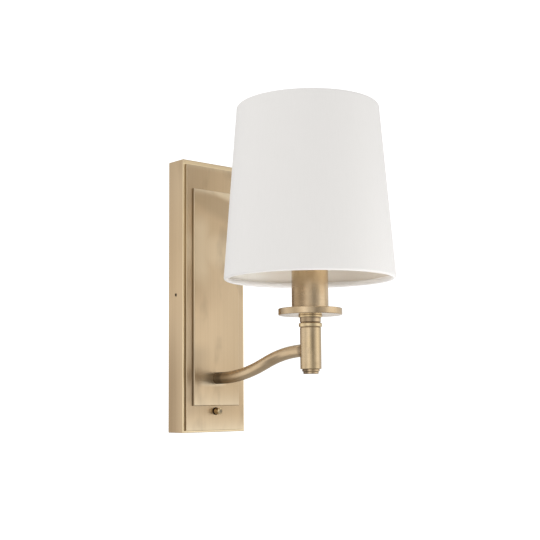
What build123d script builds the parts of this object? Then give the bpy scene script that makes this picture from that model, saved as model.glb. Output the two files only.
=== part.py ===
from build123d import *
import math
import os

# A candle wall light: stepped back plate, S-shaped arm, turned column, candle tube and fabric shade.
# Millimetres. X runs to the right, Z up, the wall is the plane Y = 0 and the light stands out towards -Y.

# Back box
box_width = 80.0
box_height = 280.0
box_depth = 24.5
box_wall = 1.2
box_edge_round = 0.6

# Face plate and raised panel
plate_thickness = 2.5
plate_side_margin = 2.8
plate_top_margin = 5.0
plate_bottom_margin = 2.0
plate_edge_round = 0.5
panel_width = 59.0
panel_height = 223.0
panel_thickness = 2.5
panel_edge_round = 0.8

# Studs behind the raised panel, with their washers and nuts
stud_diameter = 4.0
stud_tail = 7.0
stud_upper_height = 85.0
stud_lower_height = -35.0
stud_washer_diameter = 9.0
stud_washer_thickness = 0.8
stud_nut_across = 7.0
stud_nut_thickness = 3.2

# Wall bracket of folded sheet
bracket_sheet = 1.5
bracket_fold_round = 0.8
strap_width = 30.0
strap_height = 130.0
crossbar_height = 24.0
ear_gap = 0.3
ear_margin = 6.0
wall_screw_spacing = 90.0
wall_slot_length = 16.0
wall_slot_width = 5.0
cable_hole_diameter = 18.0

# Side screws that lock the box to the bracket's ears
side_screw_diameter = 4.0
side_screw_length = 8.0
side_socket_across = 2.0
side_socket_depth = 2.5

# Earth screw on the bracket
earth_screw_diameter = 4.0
earth_head_diameter = 8.0
earth_head_thickness = 2.6
earth_screw_height = -26.0
driver_slot_width = 0.9
driver_slot_depth = 1.0

# Terminal block on the bracket
block_width = 30.0
block_height = 17.0
block_depth = 13.0
block_edge_round = 1.0
block_centre_height = 24.5
pole_pitch = 9.0
pole_size = 5.6
pole_length = 15.0
pole_bore = 3.0
pole_screw_diameter = 3.0
pole_screw_spread = 8.0
pole_screw_sink = 1.2
block_screw_diameter = 3.0
block_screw_head = 5.2
block_screw_head_thickness = 2.0

# Arm
reach = 170.0
arm_diameter = 12.0
arm_wall = 1.0
arm_root_height = -85.0
arm_lead = 6.0
arm_lower_radius = 190.0
arm_upper_radius = 150.0
arm_slope = 19.2
arm_seat = 1.2

# Hollow threaded tube that clamps the arm to the plates
arm_nipple_bore = 7.0
arm_nipple_insert = 5.0
arm_nipple_tail = 9.0
arm_washer_diameter = 18.0
arm_washer_thickness = 1.2
arm_nut_across = 14.0
arm_nut_thickness = 5.0
earth_tag_thickness = 0.8
earth_tag_diameter = 15.0
earth_tag_tail_width = 4.0
earth_tag_tail = 10.0

# Turned column, finial, bead and collar
column_diameter = 19.8
column_wall = 2.5
column_cap = 5.0
column_below_arm = 17.7
column_above_arm = 21.0
column_edge_round = 0.5
finial_upper_diameter = 16.4
finial_upper_height = 2.3
finial_lower_diameter = 14.4
finial_lower_height = 2.2
finial_spigot = 5.0
finial_edge_round = 0.7
bead_diameter = 21.8
bead_height = 4.6
bead_groove = 0.5
bead_land = 0.35
bead_edge_round = 0.9
neck_height = 4.9
neck_groove = 0.5
collar_diameter = 22.2
collar_height = 2.1
collar_edge_round = 0.8
stem_diameter = 9.8
stem_bore = 7.0
stem_nut_across = 14.0
stem_nut_thickness = 4.0

# Drip pan and candle tube
pan_diameter = 60.0
pan_height = 6.2
pan_sheet = 1.4
pan_edge_round = 1.0
candle_diameter = 34.5
candle_wall = 0.8
candle_height = 90.0

# Lampholder
holder_diameter = 27.2
holder_projection = 8.5
holder_body_height = 32.0
holder_bore = 22.0
holder_floor = 5.0
holder_cap_height = 20.0
holder_cap_wall = 2.0
holder_cap_floor = 4.0
shoulder_height = 2.0
shoulder_drop = 1.0
shell_bore = 14.7
shell_wall = 0.4
shell_height = 20.0
shell_foot_diameter = 19.0
contact_diameter = 6.0
contact_height = 2.5

# Shade ring and shade
shade_ring_height = 6.0
shade_ring_diameter = 34.0
shade_ring_flange = 40.0
shade_ring_flange_height = 2.0
shade_ring_round = 0.6
fitter_diameter = 45.0
fitter_thickness = 1.5
fitter_gap = 0.6
fitter_arm_count = 3
fitter_arm_bend = 5.0
shade_gap = 27.4
shade_height = 166.0
shade_bottom_diameter = 162.0
shade_top_diameter = 136.0
cover_thickness = 0.7
liner_thickness = 0.4
wire_ring_diameter = 2.4
hem_depth = 7.0
hem_notch_width = 3.4
glue_gap = 0.05
wire_clearance = 0.2

# Bulb
bulb_cap_diameter = 14.0
bulb_cap_height = 25.0
bulb_collar_diameter = 16.6
bulb_collar_height = 3.0
bulb_tip_height = 4.0
bulb_diameter = 35.0
bulb_glass_height = 74.0
bulb_belly_height = 29.0
bulb_glass_wall = 0.8
bulb_point_radius = 1.6
stem_glass_diameter = 4.0
stem_glass_height = 20.0
filament_count = 4
filament_diameter = 1.2
filament_height = 30.0
filament_circle = 9.0

# Push-button switch
switch_below_panel = 5.6
button_diameter = 6.5
button_proud = 8.6
button_chamfer = 1.2
button_travel = 3.0
bush_diameter = 7.6
bush_proud = 0.9
bush_edge_round = 0.3
switch_nut_across = 11.0
switch_nut_thickness = 2.5
housing_size = 15.0
plunger_reserve = 6.0
housing_front = 1.5
housing_bore = 9.6
housing_edge_round = 1.0
base_thickness = 2.0
plunger_flange_diameter = 8.8
plunger_flange_thickness = 1.5
plunger_spigot_diameter = 3.0
plunger_spigot_length = 5.0
tab_width = 4.0
tab_thickness = 0.8
tab_length = 4.0
tab_pitch = 8.0

# Insulated leads
lead_diameter = 2.0
lead_side = 1.4
lead_depth = 7.3
lead_bend = 6.0
lead_wide_bend = 9.0
neutral_drop = -20.0
neutral_gather = -58.0
live_drop = -30.0
live_gather = -70.0
earth_drop = -20.0

# Clearances
running_clearance = 0.05
thread_clearance = 0.1
hole_clearance = 0.2

# Heights and depths that follow from the sizes above
box_inside = box_depth - box_wall
plate_front = box_depth + plate_thickness
panel_front = plate_front + panel_thickness
plate_width = box_width - 2 * plate_side_margin
plate_height = box_height - plate_top_margin - plate_bottom_margin
plate_middle = (plate_bottom_margin - plate_top_margin) / 2
panel_bottom = plate_middle - panel_height / 2
switch_height = panel_bottom - switch_below_panel
nipple_diameter = arm_diameter - 2 * arm_wall - 2 * thread_clearance
stud_heights = (stud_upper_height, stud_lower_height)
stud_hole = stud_diameter + 2 * hole_clearance
nipple_hole = nipple_diameter + 2 * hole_clearance
bush_hole = bush_diameter + 2 * thread_clearance
slope = math.radians(arm_slope)
arm_tail = column_diameter / 2
arm_run = reach - panel_front - arm_lead - arm_tail
arm_straight = (arm_run - (arm_lower_radius + arm_upper_radius) * math.sin(slope)) / math.cos(slope)
arm_rise = (arm_lower_radius + arm_upper_radius) * (1 - math.cos(slope)) + arm_straight * math.sin(slope)
arm_end_height = arm_root_height + arm_rise
column_bore = column_diameter - 2 * column_wall
column_bottom = arm_end_height - column_below_arm
column_top = arm_end_height + column_above_arm
bead_top = column_top + bead_height
neck_top = bead_top + neck_height
pan_bottom = neck_top + collar_height
pan_floor = pan_bottom + pan_sheet
pan_top = pan_bottom + pan_height
stem_hole = stem_diameter + 2 * thread_clearance
candle_bore = candle_diameter - 2 * candle_wall
candle_top = pan_floor + candle_height
holder_top = candle_top + holder_projection
holder_bottom = holder_top - holder_body_height
holder_seat = holder_bottom + holder_floor
holder_cap_bottom = holder_bottom - holder_cap_height
stem_top = holder_cap_bottom + holder_cap_floor
bulb_bottom = holder_seat + contact_height + running_clearance
bulb_cap_top = bulb_bottom + bulb_cap_height
fitter_top = candle_top + fitter_thickness
shade_bottom = pan_top + shade_gap
shade_slant = math.hypot(shade_height, (shade_bottom_diameter - shade_top_diameter) / 2)
roll_radius = wire_ring_diameter / 2 + wire_clearance + cover_thickness
liner_start = 2 * roll_radius + hole_clearance
flap_offset = cover_thickness + liner_thickness + 2 * glue_gap
housing_depth = housing_front + plunger_flange_thickness + button_travel + plunger_reserve
housing_start = box_inside - switch_nut_thickness
housing_back = housing_start - housing_depth
cavity_front = housing_start - housing_front
button_back = cavity_front - running_clearance


# Helpers

def towards_room(sketch, depth, length, x=0.0, z=0.0):
    """Extrude a sketch from a depth off the wall out towards the room."""
    return Pos(x, -depth, z) * Rot(90, 0, 0) * extrude(sketch, length)


def rounded_front(plate, radius):
    """Round the edges of a plate's front face."""
    return fillet(plate.faces().sort_by(Axis.Y)[0].outer_wire().edges(), radius)


def rounded_face(points, corners=()):
    """A face inside a closed outline, rounded at its corners, a list of (point, rounding)."""
    face = make_face(Polyline(*points, close=True))
    for point, rounding in corners:
        face = fillet(face.vertices().sort_by_distance(point)[0], rounding)
    return face


def turned(outline, corners=()):
    """Turn a half outline of (radius, height) points about the light's axis.

    corners lists (radius, height, rounding).
    """
    points = [(r, 0, z) for r, z in outline]
    rounds = [((r, 0, z), rounding) for r, z, rounding in corners]
    return Pos(0, -reach, 0) * revolve(rounded_face(points, rounds), Axis.Z, 360)


def ring(outer_diameter, inner_diameter, bottom, top, rounding=0.0):
    """A plain turned ring on the light's axis, its outer edges rounded if asked."""
    outer, inner = outer_diameter / 2, inner_diameter / 2
    outline = [(inner, bottom), (outer, bottom), (outer, top), (inner, top)]
    corners = [(outer, bottom, rounding), (outer, top, rounding)] if rounding else []
    return turned(outline, corners)


def hexagon(across):
    return RegularPolygon(across / 2, 6, major_radius=False)


def group(solids):
    """Identical pieces kept as separate solids of one node."""
    return Compound(children=[piece.solid() for piece in solids])


def tube_along(path, section):
    """Sweep a section square to the start of a path."""
    wire = Wire(path)
    return sweep(Plane(wire @ 0, z_dir=wire % 0) * section, path=wire)


# Wall bracket and its fixings

def wall_bracket():
    """Upright strap and a crossbar whose ends fold forward into ears."""
    outer = box_width / 2 - box_wall - ear_gap
    inner = outer - bracket_sheet
    ear_end = -box_depth / 2 - ear_margin
    fold = [(outer, 0), (outer, ear_end), (inner, ear_end), (inner, -bracket_sheet)]
    outline = fold + [(-x, y) for x, y in reversed(fold)]
    outer_round = bracket_fold_round + bracket_sheet
    rounds = [((x, 0), outer_round) for x in (-outer, outer)]
    rounds += [((x, -bracket_sheet), bracket_fold_round) for x in (-inner, inner)]
    crossbar = extrude(rounded_face(outline, rounds), crossbar_height / 2, both=True)
    bracket = crossbar + towards_room(Rectangle(strap_width, strap_height), 0, bracket_sheet)
    slot = Rot(0, 0, 90) * SlotOverall(wall_slot_length, wall_slot_width)
    for side in (-1, 1):
        bracket -= towards_room(slot, 0, bracket_sheet, z=side * wall_screw_spacing / 2)
    bracket -= towards_room(Circle(cable_hole_diameter / 2), 0, bracket_sheet)
    earth_hole = Circle(earth_screw_diameter / 2 + thread_clearance)
    bracket -= towards_room(earth_hole, 0, bracket_sheet, z=earth_screw_height)
    block_hole = Circle(block_screw_diameter / 2 + thread_clearance)
    bracket -= towards_room(block_hole, 0, bracket_sheet, x=pole_pitch / 2, z=block_centre_height)
    tapped = Cylinder(side_screw_diameter / 2 + thread_clearance, box_width)
    return bracket - Pos(0, -box_depth / 2, 0) * Rot(0, 90, 0) * tapped


def side_screws():
    """Two socket grub screws, flush with the box's sides."""
    screw = Cylinder(side_screw_diameter / 2, side_screw_length)
    socket = extrude(hexagon(side_socket_across), side_socket_depth)
    screw -= Pos(0, 0, side_screw_length / 2 - side_socket_depth) * socket
    place = Pos(box_width / 2 - side_screw_length / 2, -box_depth / 2, 0) * Rot(0, 90, 0)
    right = place * screw
    return group([right, right.mirror(Plane.YZ)])


def slotted_screw(diameter, length, head_diameter, head_thickness):
    """A cheese-head screw whose head rests on z = 0 and whose shank runs down."""
    head = extrude(Circle(head_diameter / 2), head_thickness)
    slot = Box(head_diameter, driver_slot_width, driver_slot_depth)
    head -= Pos(0, 0, head_thickness - driver_slot_depth / 2) * slot
    return head + extrude(Circle(diameter / 2), -length)


def earth_screw():
    screw = slotted_screw(earth_screw_diameter, bracket_sheet, earth_head_diameter, earth_head_thickness)
    return Pos(0, -bracket_sheet, earth_screw_height) * Rot(90, 0, 0) * screw


# Terminal block

def pole_places():
    return [index * pole_pitch for index in (-1, 0, 1)]


def pole_screw_places():
    rows = [block_centre_height + side * pole_screw_spread / 2 for side in (-1, 1)]
    return [(x, z) for x in pole_places() for z in rows]


def terminal_block():
    outline = Rectangle(block_width, block_height)
    block = towards_room(outline, bracket_sheet, block_depth, z=block_centre_height)
    block = fillet(block.edges().filter_by(Axis.Z), block_edge_round)
    pocket = Box(pole_size + 2 * thread_clearance, pole_size + 2 * thread_clearance, block_height)
    well = Circle(pole_screw_diameter / 2 + hole_clearance)
    for x in pole_places():
        block -= Pos(x, -lead_depth, block_centre_height) * pocket
    for x, z in pole_screw_places():
        block -= towards_room(well, lead_depth, block_depth, x, z)
    bolt = Circle(block_screw_diameter / 2 + hole_clearance)
    head = Circle(block_screw_head / 2 + hole_clearance)
    block -= towards_room(bolt, 0, block_depth, pole_pitch / 2, block_centre_height)
    return block - towards_room(head, block_screw_seat(), block_depth, pole_pitch / 2, block_centre_height)


def block_screw_seat():
    """Depth of the counterbore floor: the head sits just in front of the poles."""
    return lead_depth + pole_size / 2 + thread_clearance


def terminal_poles():
    pole = Box(pole_size, pole_size, pole_length) - Cylinder(pole_bore / 2, pole_length)
    tapped = Rot(90, 0, 0) * extrude(Circle(pole_screw_diameter / 2 + thread_clearance), pole_size)
    for side in (-1, 1):
        pole -= Pos(0, 0, side * pole_screw_spread / 2) * tapped
    return group([Pos(x, -lead_depth, block_centre_height) * pole for x in pole_places()])


def terminal_screws():
    tip = lead_depth + lead_diameter / 2 + thread_clearance
    length = bracket_sheet + block_depth - pole_screw_sink - tip
    screw = extrude(Circle(pole_screw_diameter / 2), length)
    slot = Box(pole_screw_diameter, driver_slot_width, driver_slot_depth)
    screw -= Pos(0, 0, length - driver_slot_depth / 2) * slot
    return group([Pos(x, -tip, z) * Rot(90, 0, 0) * screw for x, z in pole_screw_places()])


def block_screw():
    shank = block_screw_seat() - thread_clearance
    screw = slotted_screw(block_screw_diameter, shank, block_screw_head, block_screw_head_thickness)
    return Pos(pole_pitch / 2, -block_screw_seat(), block_centre_height) * Rot(90, 0, 0) * screw


# Back box and plates

def front_holes(depth, length):
    """The holes that the box's front wall and the face plate share."""
    holes = [towards_room(Circle(nipple_hole / 2), depth, length, z=arm_root_height)]
    holes.append(towards_room(Circle(bush_hole / 2), depth, length, z=switch_height))
    holes += [towards_room(Circle(stud_hole / 2), depth, length, z=z) for z in stud_heights]
    return holes


def back_box():
    box = towards_room(Rectangle(box_width, box_height), 0, box_depth)
    box = fillet(box.edges().filter_by(Axis.Y), box_edge_round)
    box = rounded_front(box, box_edge_round)
    box -= towards_room(Rectangle(box_width - 2 * box_wall, box_height - 2 * box_wall), 0, box_inside)
    screw_hole = Cylinder(side_screw_diameter / 2 + hole_clearance, box_width)
    box -= Pos(0, -box_depth / 2, 0) * Rot(0, 90, 0) * screw_hole
    return box - front_holes(box_inside, box_wall)


def face_plate():
    plate = towards_room(Rectangle(plate_width, plate_height), box_depth, plate_thickness, z=plate_middle)
    return rounded_front(plate, plate_edge_round) - front_holes(box_depth, plate_thickness)


def raised_panel():
    panel = towards_room(Rectangle(panel_width, panel_height), plate_front, panel_thickness, z=plate_middle)
    panel = rounded_front(panel, panel_edge_round)
    return panel - towards_room(Circle(nipple_hole / 2), plate_front, panel_thickness, z=arm_root_height)


def panel_studs():
    start = box_inside - stud_tail
    stud = Circle(stud_diameter / 2)
    return group([towards_room(stud, start, plate_front - start, z=z) for z in stud_heights])


def stud_washers():
    washer = Circle(stud_washer_diameter / 2) - Circle(stud_hole / 2)
    depth = box_inside - stud_washer_thickness
    return group([towards_room(washer, depth, stud_washer_thickness, z=z) for z in stud_heights])


def stud_nuts():
    nut = hexagon(stud_nut_across) - Circle(stud_diameter / 2 + thread_clearance)
    depth = box_inside - stud_washer_thickness - stud_nut_thickness
    return group([towards_room(nut, depth, stud_nut_thickness, z=z) for z in stud_heights])


# Arm and what clamps it

def arm_edges(x, start_depth, end_depth):
    """The arm's centreline at a sideways offset: lead, rising arc, straight, levelling arc, tail."""
    def point(depth, height):
        return Vector(x, -depth, height)

    def arc_point(depth, height, radius, angle, up):
        across = radius * math.sin(angle)
        rise = radius * (1 - math.cos(angle))
        return point(depth + up * across, height + up * rise)

    lead_end = (panel_front + arm_lead, arm_root_height)
    tail_start = (reach - arm_tail, arm_end_height)
    rise_end = arc_point(*lead_end, arm_lower_radius, slope, 1)
    level_start = arc_point(*tail_start, arm_upper_radius, slope, -1)
    rise_middle = arc_point(*lead_end, arm_lower_radius, slope / 2, 1)
    level_middle = arc_point(*tail_start, arm_upper_radius, slope / 2, -1)
    return [
        Line(point(start_depth, arm_root_height), point(*lead_end)),
        ThreePointArc(point(*lead_end), rise_middle, rise_end),
        Line(rise_end, level_start),
        ThreePointArc(level_start, level_middle, point(*tail_start)),
        Line(point(*tail_start), point(end_depth, arm_end_height)),
    ]


def arm():
    end_depth = reach - column_diameter / 2 + arm_seat
    section = Circle(arm_diameter / 2) - Circle(arm_diameter / 2 - arm_wall)
    return tube_along(arm_edges(0, panel_front, end_depth), section)


def arm_nipple():
    start = box_inside - arm_nipple_tail
    section = Circle(nipple_diameter / 2) - Circle(arm_nipple_bore / 2)
    return towards_room(section, start, panel_front + arm_nipple_insert - start, z=arm_root_height)


def arm_washer():
    washer = Circle(arm_washer_diameter / 2) - Circle(nipple_hole / 2)
    return towards_room(washer, box_inside - arm_washer_thickness, arm_washer_thickness, z=arm_root_height)


def earth_tag():
    """Ring tag under the arm nut, its tail standing up for the earth lead."""
    tail_length = earth_tag_diameter / 2 + earth_tag_tail
    tail = Pos(0, tail_length / 2) * Rectangle(earth_tag_tail_width, tail_length)
    outline = Circle(earth_tag_diameter / 2) + tail - Circle(nipple_hole / 2)
    depth = box_inside - arm_washer_thickness - earth_tag_thickness
    return towards_room(outline, depth, earth_tag_thickness, z=arm_root_height)


def arm_nut():
    nut = hexagon(arm_nut_across) - Circle(nipple_diameter / 2 + thread_clearance)
    depth = box_inside - arm_washer_thickness - earth_tag_thickness - arm_nut_thickness
    return towards_room(nut, depth, arm_nut_thickness, z=arm_root_height)


# Column and the turned pieces on it

def column():
    outer, bore, hole = column_diameter / 2, column_bore / 2, stem_hole / 2
    cap_under = column_top - column_cap
    outline = [(bore, column_bottom), (outer, column_bottom), (outer, column_top),
               (hole, column_top), (hole, cap_under), (bore, cap_under)]
    rounds = [(outer, column_bottom, column_edge_round), (outer, column_top, column_edge_round)]
    arm_hole = Rot(90, 0, 0) * Cylinder(arm_diameter / 2 + thread_clearance, reach)
    return turned(outline, rounds) - Pos(0, -reach / 2, arm_end_height) * arm_hole


def finial():
    """Stepped cap that closes the column from below."""
    upper, lower = finial_upper_diameter / 2, finial_lower_diameter / 2
    spigot = column_bore / 2 - thread_clearance
    step = column_bottom - finial_upper_height
    bottom = step - finial_lower_height
    spigot_top = column_bottom + finial_spigot
    outline = [(0, bottom), (lower, bottom), (lower, step), (upper, step), (upper, column_bottom),
               (spigot, column_bottom), (spigot, spigot_top), (0, spigot_top)]
    return turned(outline, [(lower, bottom, finial_edge_round), (upper, step, finial_edge_round)])


def bead_ring():
    """Raised band with rounded edges between two shallow grooves."""
    hole, root, crown = stem_hole / 2, column_diameter / 2 - bead_groove, bead_diameter / 2
    low, high = column_top + bead_land, bead_top - bead_land
    outline = [(hole, column_top), (root, column_top), (root, low), (crown, low), (crown, high),
               (root, high), (root, bead_top), (hole, bead_top)]
    return turned(outline, [(crown, low, bead_edge_round), (crown, high, bead_edge_round)])


def neck_collar():
    """Short neck with a groove at its foot and a rounded flange under the pan."""
    hole, neck, flange = stem_hole / 2, column_diameter / 2, collar_diameter / 2
    groove = neck - bead_groove
    groove_top = bead_top + neck_groove
    outline = [(hole, bead_top), (groove, bead_top), (groove, groove_top), (neck, groove_top),
               (neck, neck_top), (flange, neck_top), (flange, pan_bottom), (hole, pan_bottom)]
    rounds = [(flange, neck_top, collar_edge_round), (flange, pan_bottom, collar_edge_round)]
    return turned(outline, rounds)


def stem_nipple():
    return ring(stem_diameter, stem_bore, column_top - column_cap, stem_top)


def stem_nut():
    nut = hexagon(stem_nut_across) - Circle(stem_hole / 2)
    return Pos(0, -reach, pan_floor) * extrude(nut, stem_nut_thickness)


# Pan, candle tube and lampholder

def drip_pan():
    outer, inner, hole = pan_diameter / 2, pan_diameter / 2 - pan_sheet, stem_hole / 2
    outline = [(hole, pan_bottom), (outer, pan_bottom), (outer, pan_top), (inner, pan_top),
               (inner, pan_floor), (hole, pan_floor)]
    rounds = [(outer, pan_bottom, pan_edge_round), (outer, pan_top, pan_sheet / 2 - running_clearance)]
    return turned(outline, rounds)


def candle_tube():
    return ring(candle_diameter, candle_bore, pan_floor, candle_top)


def holder_cap():
    """Cup under the lampholder that screws on to the stem."""
    outer, inner, hole = holder_diameter / 2, holder_diameter / 2 - holder_cap_wall, stem_hole / 2
    outline = [(hole, holder_cap_bottom), (outer, holder_cap_bottom), (outer, holder_bottom),
               (inner, holder_bottom), (inner, stem_top), (hole, stem_top)]
    return turned(outline, [(outer, holder_cap_bottom, holder_cap_wall)])


def holder_body():
    """Barrel with a shoulder that centres the candle tube and a well for the bulb's cap."""
    outer, bore = holder_diameter / 2, holder_bore / 2
    shoulder = candle_bore / 2 - thread_clearance
    high = candle_top - shoulder_drop
    low = high - shoulder_height
    outline = [(0, holder_bottom), (outer, holder_bottom), (outer, low), (shoulder, low), (shoulder, high),
               (outer, high), (outer, holder_top), (bore, holder_top), (bore, holder_seat), (0, holder_seat)]
    return turned(outline)


def holder_shell():
    """Screw contact: a thin sleeve with a foot on the floor of the holder."""
    inner, foot = shell_bore / 2, shell_foot_diameter / 2
    outer = inner + shell_wall
    foot_top = holder_seat + shell_wall
    outline = [(inner, holder_seat), (foot, holder_seat), (foot, foot_top), (outer, foot_top),
               (outer, holder_seat + shell_height), (inner, holder_seat + shell_height)]
    return turned(outline)


def holder_contact():
    radius, top = contact_diameter / 2, holder_seat + contact_height
    outline = [(0, holder_seat), (radius, holder_seat), (radius, top), (0, top)]
    return turned(outline, [(radius, top, contact_height / 2)])


# Shade

def shade_point(along, inwards):
    """A point of the shade's half section: so far up the slant, so far in from the outside."""
    lean = (shade_top_diameter - shade_bottom_diameter) / 2
    radius = shade_bottom_diameter / 2 + (along * lean - inwards * shade_height) / shade_slant
    height = shade_bottom + (along * shade_height + inwards * lean) / shade_slant
    return (radius, 0, height)


def hem(at_top):
    """Outline of one rolled hem, from the cover's outside face round the wire ring to its inside."""
    def point(along, inwards):
        return shade_point(shade_slant - along if at_top else along, inwards)

    rolled, inner = roll_radius, roll_radius - cover_thickness
    outside = point(rolled, 0)
    flap_root = point(rolled, 2 * rolled)
    flap_front = [point(2 * rolled, 2 * rolled), point(hem_depth, flap_offset + cover_thickness)]
    flap_back = [point(hem_depth, flap_offset), point(2 * rolled, rolled + inner)]
    curl_start = point(rolled, rolled + inner)
    inside = point(rolled, cover_thickness)
    edges = [ThreePointArc(outside, point(0, rolled), flap_root)]
    edges += Polyline(flap_root, *flap_front, *flap_back, curl_start).edges()
    edges.append(ThreePointArc(curl_start, point(rolled - inner, rolled), inside))
    return edges, outside, inside


def wire_centre(at_top):
    """Radius and height of the middle of a wire ring in its hem."""
    radius, _, height = shade_point(shade_slant - roll_radius if at_top else roll_radius, roll_radius)
    return radius, height


def fitter_angles():
    return [90 + index * 360 / fitter_arm_count for index in range(fitter_arm_count)]


def shade_cover():
    """Fabric cover with a rolled hem at each end, notched at the top where the frame's arms come out."""
    top_edges, top_outside, top_inside = hem(True)
    bottom_edges, bottom_outside, bottom_inside = hem(False)
    walls = [Line(bottom_outside, top_outside), Line(bottom_inside, top_inside)]
    cover = revolve(make_face(top_edges + bottom_edges + walls), Axis.Z, 360)
    radius, height = wire_centre(True)
    notch_depth = 4 * roll_radius
    notch_height = hem_depth + roll_radius
    notch = Box(notch_depth, hem_notch_width, notch_height)
    for angle in fitter_angles():
        cover -= Rot(0, 0, angle) * Pos(radius - notch_depth / 2, 0, height - notch_height / 2) * notch
    return Pos(0, -reach, 0) * cover


def shade_liner():
    """Stiff lining between the two hems."""
    outer = cover_thickness + glue_gap
    inner = outer + liner_thickness
    high = shade_slant - liner_start
    corners = [(liner_start, outer), (high, outer), (high, inner), (liner_start, inner)]
    points = [shade_point(*corner) for corner in corners]
    return Pos(0, -reach, 0) * revolve(make_face(Polyline(*points, close=True)), Axis.Z, 360)


def wire_ring(at_top):
    radius, height = wire_centre(at_top)
    return Pos(0, 0, height) * Torus(radius, wire_ring_diameter / 2)


def shade_bottom_ring():
    return Pos(0, -reach, 0) * wire_ring(False)


def shade_frame():
    """Fitter ring on the candle tube, with arms welded up to the top wire ring."""
    middle = candle_top + fitter_thickness / 2
    inner = holder_diameter / 2 + fitter_gap
    outer = fitter_diameter / 2
    frame = Pos(0, 0, candle_top) * extrude(Circle(outer) - Circle(inner), fitter_thickness)
    frame += wire_ring(True)
    radius, height = wire_centre(True)
    start = (outer - wire_ring_diameter / 2, 0, middle)
    elbow = (outer + fitter_arm_bend, 0, middle)
    path = FilletPolyline(start, elbow, (radius, 0, height), radius=fitter_arm_bend)
    rod = tube_along(path.edges(), Circle(wire_ring_diameter / 2))
    for angle in fitter_angles():
        frame += Rot(0, 0, angle) * rod
    return Pos(0, -reach, 0) * frame


def shade_ring():
    """Threaded ring that clamps the fitter on to the candle tube."""
    inner = holder_diameter / 2 + thread_clearance
    collar, flange = shade_ring_diameter / 2, shade_ring_flange / 2
    flange_top = fitter_top + shade_ring_flange_height
    top = fitter_top + shade_ring_height
    outline = [(inner, fitter_top), (flange, fitter_top), (flange, flange_top), (collar, flange_top),
               (collar, top), (inner, top)]
    rounds = [(flange, flange_top, shade_ring_round), (collar, top, shade_ring_round)]
    return turned(outline, rounds)


# Bulb

def belly_arc(belly, belly_height, end, end_height):
    """An arc that leaves the belly upright and ends at another radius and height."""
    across, along = belly - end, end_height - belly_height
    radius = (across ** 2 + along ** 2) / (2 * across)
    half_turn = math.asin(along / radius) / 2
    middle = (belly - radius * (1 - math.cos(half_turn)), 0, belly_height + radius * math.sin(half_turn))
    return ThreePointArc((belly, 0, belly_height), middle, (end, 0, end_height))


def bulb_solid(inset):
    """The candle bulb's shape, drawn in from the outside by the inset."""
    neck = bulb_collar_diameter / 2 - bulb_glass_wall - inset
    belly = bulb_diameter / 2 - inset
    belly_height = bulb_cap_top + bulb_belly_height
    tip = bulb_cap_top + bulb_glass_height - inset
    lower = belly_arc(belly, belly_height, neck, bulb_cap_top)
    upper = belly_arc(belly, belly_height, bulb_point_radius - inset, tip)
    axis = Polyline(upper @ 1, (0, 0, tip), (0, 0, bulb_cap_top), lower @ 1)
    return Pos(0, -reach, 0) * revolve(make_face([lower, upper, *axis.edges()]), Axis.Z, 360)


def bulb_glass():
    return bulb_solid(0) - bulb_solid(bulb_glass_wall)


def bulb_cap():
    """Screw cap: centre contact, insulating cone, threaded sleeve and collar round the glass."""
    tip, sleeve, collar = contact_diameter / 2, bulb_cap_diameter / 2, bulb_collar_diameter / 2
    cone_top = bulb_bottom + bulb_tip_height
    collar_bottom = bulb_cap_top - bulb_collar_height
    outline = [(0, bulb_bottom), (tip, bulb_bottom), (sleeve, cone_top), (sleeve, collar_bottom),
               (collar, bulb_cap_top - bulb_collar_height / 2), (collar, bulb_cap_top), (0, bulb_cap_top)]
    return turned(outline)


def bulb_filaments():
    """Glass stem with a cage of filament sticks between two wire stars."""
    stem = extrude(Circle(stem_glass_diameter / 2), stem_glass_height)
    top = stem_glass_height + filament_height
    cage = stem + extrude(Circle(filament_diameter / 2), top)
    spoke = Pos(filament_circle / 4, 0, 0) * Box(filament_circle / 2, filament_diameter, filament_diameter)
    stick = Cylinder(filament_diameter / 2, filament_height + filament_diameter)
    for index in range(filament_count):
        turn = Rot(0, 0, index * 360 / filament_count)
        cage += turn * Pos(0, 0, stem_glass_height) * spoke
        cage += turn * Pos(0, 0, top) * spoke
        cage += turn * Pos(filament_circle / 2, 0, stem_glass_height + filament_height / 2) * stick
    return Pos(0, -reach, bulb_cap_top) * cage


# Push-button switch

def switch_bush():
    """Threaded sleeve through the box and the face plate, standing proud round the button."""
    section = Circle(bush_diameter / 2) - Circle(button_diameter / 2 + running_clearance)
    length = plate_front + bush_proud - cavity_front
    bush = towards_room(section, cavity_front, length, z=switch_height)
    return rounded_front(bush, bush_edge_round)


def switch_nut():
    nut = hexagon(switch_nut_across) - Circle(bush_diameter / 2 + thread_clearance)
    return towards_room(nut, housing_start, switch_nut_thickness, z=switch_height)


def switch_housing():
    outline = Rectangle(housing_size, housing_size)
    housing = towards_room(outline, housing_back, housing_depth, z=switch_height)
    housing = fillet(housing.edges().filter_by(Axis.Y), housing_edge_round)
    cavity_depth = cavity_front - housing_back
    housing -= towards_room(Circle(housing_bore / 2), housing_back, cavity_depth, z=switch_height)
    return housing - towards_room(Circle(bush_hole / 2), cavity_front, housing_front, z=switch_height)


def switch_base():
    outline = Rectangle(housing_size, housing_size)
    base = towards_room(outline, housing_back - base_thickness, base_thickness, z=switch_height)
    return fillet(base.edges().filter_by(Axis.Y), housing_edge_round)


def tab_back():
    return housing_back - base_thickness - tab_length


def switch_tabs():
    """Two solder tabs on the back of the switch."""
    tab = Rectangle(tab_thickness, tab_width)
    places = (-tab_pitch / 2, tab_pitch / 2)
    return group([towards_room(tab, tab_back(), tab_length, x, switch_height) for x in places])


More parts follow.
